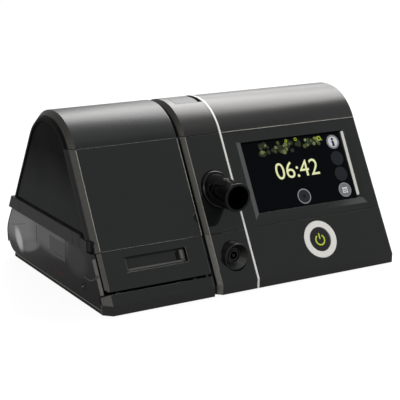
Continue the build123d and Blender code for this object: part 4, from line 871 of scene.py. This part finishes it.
tubLook = {
    # places are depth and height on the tub's side, in mm; a corner is a share of a bar's width
    "seams": ((29.5, 23.0, 38.0), (-26.5, 19.5, 40.4)),        # depth, low and high end
    "seamWide": 0.45, "seamThick": 0.12, "seamCorner": 0.3, "seamTone": (0.02, 0.02, 0.021),
    # a pale patch: painted light where the lit inner wall shows through
    "litPatch": (-10.5, 30.0), "litPatchSize": (29.0, 14.5, 0.08), "litPatchCorner": 0.06,
    "litPatchTone": (0.066, 0.067, 0.072), "litPatchRough": 0.2,
    "rod": (-57.2, 13.0), "rodRing": (3.5, 2.7, 0.25, 40), "rodShine": 0.1,
    "rodDot": (-56.4, 12.6, -0.05), "rodDotSize": (0.55, 0.5, 20),
    # beads: in from the side, radius, tone, roughness, shine, then the places on their way
    "beads": {
        "tubArc": (0.4, 0.65, (0.062, 0.062, 0.064), 0.35, 0.2,
                   ((-58.5, 20.8), (-64.0, 20.2), (-70.5, 21.0), (-76.5, 23.6), (-80.6, 27.6))),
        "tubLedge": (0.0, 0.25, (0.13, 0.129, 0.135), 0.25, 0.4,
                     ((83.2, 26.3), (76.0, 27.6), (66.0, 30.4), (52.2, 34.0))),
        "tubBackEdge": (0.15, 0.5, (0.004, 0.004, 0.0042), 0.3, 0.2,
                        ((80.4, 40.0), (85.5, 32.5), (89.7, 26.0), (91.9, 20.0), (91.5, 14.0),
                         (90.8, 9.5))),
    },
    # a pale strip on the tub's front-left edge: a painted highlight of its rounded corner
    "edgeGleam": (-130.0, 23.4, -4.42), "edgeGleamTurn": -45, "edgeGleamSize": (2.7, 27.5, 0.12), "edgeGleamCorner": 0.3,
    "edgeGleamFinish": {"tone": (0.13, 0.125, 0.12), "rough": 0.45, "shine": 0.3, "cloudSize": 0.0014,
                  "vary": 0.3, "bump": 0.4},
    "levelLine": (6.3, 6.5, 25.5), "dashes": 6, "dashShare": 0.62, "dashWide": 0.45,
    "dashThick": 0.06,
    "levels": ((-14.0, 25.4), (-13.0, 11.2)), "levelSize": (19.0, 0.55, 0.1),
    "levelTone": (0.10, 0.022, 0.021), "levelRough": 0.5,
}


def plainMaterial(name, tone, rough=0.4, shine=0.2, vary=0.12):
    return mouldedPlastic(name, {"tone": tone, "rough": rough, "shine": shine, "vary": vary,
                                 "bump": 0.05})


def addTubDetail(look):
    # moulded seams, a pale patch of painted light where the lit inner wall shows through, the rod's
    # end, raised lines, a pale strip of painted highlight on the front edge and plain level marks on
    # the clear side
    def put(piece, mat):
        finishPiece(piece, mat, "humidifier")

    seams = [addBar(f"tubSeam{n}", sidePlace(y, (low + high) / 2), look["seamWide"], high - low,
                    look["seamThick"], 0, look["seamCorner"])
             for n, (y, low, high) in enumerate(look["seams"])]
    put(joinPieces("tubSeams", seams), plainMaterial("tubSeamDark", look["seamTone"]))
    litPatch = addBar("tubLitPatch", sidePlace(*look["litPatch"]), *look["litPatchSize"], 0,
                    look["litPatchCorner"])
    put(litPatch, plainMaterial("tubLitPatchPale", look["litPatchTone"], look["litPatchRough"]))
    ring = addBand("rodRing", sidePlace(*look["rod"]), *look["rodRing"])
    put(ring, plainMaterial("rodRingDark", look["seamTone"], shine=look["rodShine"]))
    dot = addDisc("rodDot", sidePlace(*look["rodDot"]), *look["rodDotSize"])
    finishPiece(dot, finishes["steel"], "humidifier")
    for name, (inset, radius, tone, rough, shine, places) in look["beads"].items():
        bead = addBead(name, [(tubSide + inset, y, z) for y, z in places], radius)
        put(bead, plainMaterial(name + "Tone", tone, rough, shine))
    slant = facePlace(*look["edgeGleam"]) @ Matrix.Rotation(math.radians(look["edgeGleamTurn"]), 4, "Y")
    edgeGleam = addBar("tubEdgeGleam", slant, *look["edgeGleamSize"], 0, look["edgeGleamCorner"])
    put(edgeGleam, mouldedPlastic("tubEdgeGleamFinish", look["edgeGleamFinish"]))
    y, low, high = look["levelLine"]
    step = (high - low) / look["dashes"]
    marks = [addBar(f"levelDash{n}", sidePlace(y, low + step * (n + 0.5)), look["dashWide"],
                    step * look["dashShare"], look["dashThick"]) for n in range(look["dashes"])]
    marks += [addBar(f"levelBar{n}", sidePlace(*place), *look["levelSize"])
              for n, place in enumerate(look["levels"])]
    red = plainMaterial("levelRed", look["levelTone"], look["levelRough"])
    put(joinPieces("levelMarks", marks), red)


addTubDetail(tubLook)
print("tub details made")

skirtLook = {
    # the dark foot that closes each unit to the floor: its front's low outline as x and y at one
    # height, and its high outline as x, y and z, in mm
    "blowerSkirt": {
        "body": "blower_unit", "finish": "strip_lower_panel", "slot": "case_dark", "foot": 0.05,
        "low": ((-38.3, -86), (-38.3, -88.9), (-32.4, -94.8), (131.0, -94.8), (131.3, -94.5),
                (131.3, -91.9), (-32.5, -91.9), (-35.4, -88.9), (-35.4, -86)),
        "high": ((-38.4, -86, 7.0), (-38.4, -88.2, 7.3), (-32.45, -94.9, 7.5),
                 (131.0, -94.9, 7.5), (131.3, -94.6, 7.5), (131.3, -94.4, 7.5),
                 (-32.4, -94.7, 7.5), (-38.2, -88.1, 7.3), (-38.2, -86, 7.0)),
    },
    "tubSkirt": {
        "body": "humidifier", "finish": "dark_panel", "slot": "case_dark", "foot": 0.05,
        "low": ((-131.3, -86), (-131.3, -88.9), (-125.4, -94.8), (-39.7, -94.8), (-39.7, -91.9),
                (-125.5, -91.9), (-128.4, -88.9), (-128.4, -86)),
        "high": ((-131.4, -86, 7.0), (-131.4, -88.2, 7.3), (-125.45, -94.9, 7.5),
                 (-39.7, -94.9, 7.5), (-39.7, -94.7, 7.5), (-125.4, -94.7, 7.5),
                 (-131.2, -88.1, 7.3), (-131.2, -86, 7.0)),
    },
    "trimFoot": {
        "body": "blower_unit", "finish": "pale_trim", "slot": "pale_trim", "foot": 0.1,
        "low": ((-1.5, -95.0), (0.3, -95.0), (0.3, -92.5), (-1.5, -92.5)),
        "high": ((-1.5, -95.1, 7.7), (0.3, -95.1, 7.7), (0.3, -94.7, 7.7), (-1.5, -94.7, 7.7)),
    },
}
plinthLook = {
    # bars along the outer sides, under each unit: low and high in x, y and z
    "tubPlinth": {"body": "humidifier", "x": (-131.4, -128.2), "y": (-86.2, 77.0),
                  "z": (0.05, 2.9)},
    "blowerPlinth": {"body": "blower_unit", "x": (129.4, 131.3), "y": (-92.0, 72.0),
                     "z": (0.05, 1.25)},
}
plinthRound = 0.2
plinthLine = {"inset": 0.25, "drop": 0.1, "short": 2, "bead": 0.3}      # a bright bead on the tub's bar, a painted highlight


def addWedge(name, low, high):
    # a closed piece between two outlines with equally many corners, in mm
    dropSelection()
    bpy.ops.mesh.primitive_circle_add(vertices=len(low), radius=10 * mm, fill_type="NGON")
    wedge = takeNew(name)
    for point, place in zip(wedge.data.vertices, low):
        point.co = Vector(place) * mm
    raised = 0.02                       # well above the low outline, to tell the new corners
    editAll()
    bpy.ops.mesh.extrude_region_move(TRANSFORM_OT_translate={"value": (0, 0, raised)})
    leaveEdit()
    for point in wedge.data.vertices:
        if point.co.z > raised / 2:
            spot = point.co.xy / mm
            nearest = min(range(len(low)), key=lambda n: (Vector(low[n]).xy - spot).length)
            point.co = Vector(high[nearest]) * mm
    editAll()
    bpy.ops.mesh.normals_make_consistent(inside=False)
    leaveEdit()
    return wedge


def addSkirts(look):
    for name, skirt in look.items():
        low = [(x, y, skirt["foot"]) for x, y in skirt["low"]]
        finishPiece(addWedge(name, low, skirt["high"]), finishes[skirt["finish"]], skirt["body"])


def addPlinths(look, edge):
    for name, plinth in look.items():
        xs, ys, zs = plinth["x"], plinth["y"], plinth["z"]
        middle = Matrix.Translation((sum(xs) / 2 * mm, sum(ys) / 2 * mm, zs[0] * mm))
        bar = addBar(name, middle, xs[1] - xs[0], ys[1] - ys[0], zs[1] - zs[0])
        roundEdges(bar, plinthRound)
        finishPiece(bar, finishes["case_dark"], plinth["body"])
    tub = look["tubPlinth"]
    x, z = tub["x"][0] + edge["inset"], tub["z"][1] - edge["drop"]
    path = [(x, y, z) for y in (tub["y"][0], 0, tub["y"][1] - edge["short"])]
    finishPiece(addBead("plinthLine", path, edge["bead"]), finishes["edge_highlight"], "humidifier")


addSkirts(skirtLook)
addPlinths(plinthLook, plinthLine)

recessLook = {
    # the raised ledge inside the finger recess: x and up of each bar as low and high, in mm
    "floor": -4.65, "top": -1.2, "corner": 0.2,
    "bars": (((-107.9, -57.8), (23.6, 25.3)), ((-107.9, -106.3), (25.2, 33.3)),
             ((-62.0, -57.8), (25.2, 33.3))),
    # gleams: pale strips on the ledge's edges, painted highlights
    "gleams": (((-106.2, -60.0), (23.9, 24.8)), ((-61.5, -59.0), (25.9, 32.8))),
    "gleamSink": 0.02, "gleamThick": 0.08,
    "ledgeFinish": ((0.030, 0.029, 0.027), 0.3, 0.4),              # tone, roughness, shine
    "gleamFinish": ((0.115, 0.111, 0.106), 0.4, 0.3, 0.35),
}


def addRecess(look):
    def addBars(name, bars, low, thick):
        return [addBar(f"{name}{n}", facePlace(sum(xs) / 2, sum(ups) / 2, low), xs[1] - xs[0],
                       ups[1] - ups[0], thick, 0, look["corner"])
                for n, (xs, ups) in enumerate(bars)]

    ledge = addBars("ledge", look["bars"], look["floor"], look["top"] - look["floor"])
    finishPiece(joinPieces("recessLedge", ledge),
                plainMaterial("recessLedgeDark", *look["ledgeFinish"]), "flap")
    gleam = addBars("gleam", look["gleams"], look["top"] - look["gleamSink"], look["gleamThick"])
    finishPiece(joinPieces("recessGleam", gleam),
                plainMaterial("recessGleamPale", *look["gleamFinish"]), "flap")


addRecess(recessLook)
print("skirts and recess made")

edgeLook = {
    # fine beads along edges and seams, pale ones as painted highlights and a black one as painted
    # shadow: body, finish, bead radius, then both ends as x, up and out
    "panelEdge": ("humidifier_housing", "edge_highlight", 0.26, (-125.6, 40.9, 0.0), (-125.6, 119.0, 0.0)),
    "panelSide": ("humidifier_housing", "edge_highlight", 0.22, (-39.75, 40.9, -0.1), (-39.75, 119.0, -0.1)),
    "panelTop": ("humidifier_housing", "edge_highlight_dim", 0.2, (-125.0, 119.5, -0.1), (-40.0, 119.5, -0.1)),
    "panelFoot": ("humidifier_housing", "edge_highlight_dim", 0.2, (-125.4, 40.5, -0.1), (-40.0, 40.5, -0.1)),
    "flapEdge": ("flap", "edge_highlight_dim", 0.2, (-125.6, 12.0, 0.0), (-125.6, 39.4, 0.0)),
    "recessFoot": ("flap", "edge_highlight_dim", 0.18, (-108.4, 22.5, 0.0), (-56.4, 22.5, 0.0)),
    "recessSide": ("flap", "edge_highlight_dim", 0.18, (-56.3, 22.8, 0.0), (-56.3, 34.0, 0.0)),
    "stripEdge": ("blower_unit", "edge_highlight", 0.24, (-32.6, 12.0, 0.0), (-32.6, 119.0, 0.0)),
    # a black bead in the gap on the strip's chamfer: painted shadow
    "gapShadowLine": ("blower_unit", "gap_shadow_black", 0.6, (-36.1, 2.0, -3.6), (-36.1, 119.0, -3.6)),
    "crownSeam": ("blower_unit", "edge_highlight", 0.2, (1.2, 119.5, -0.05), (130.9, 119.5, -0.05)),
}


def addEdges(look):
    for name, (body, finish, radius, start, end) in look.items():
        middle = tuple((a + b) / 2 for a, b in zip(start, end))
        path = [facePlace(*spot).translation / mm for spot in (start, middle, end)]
        finishPiece(addBead(name, path, radius), finishes[finish], body)


addEdges(edgeLook)
print("edge lines made")

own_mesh(cadNodes["release_spring"])
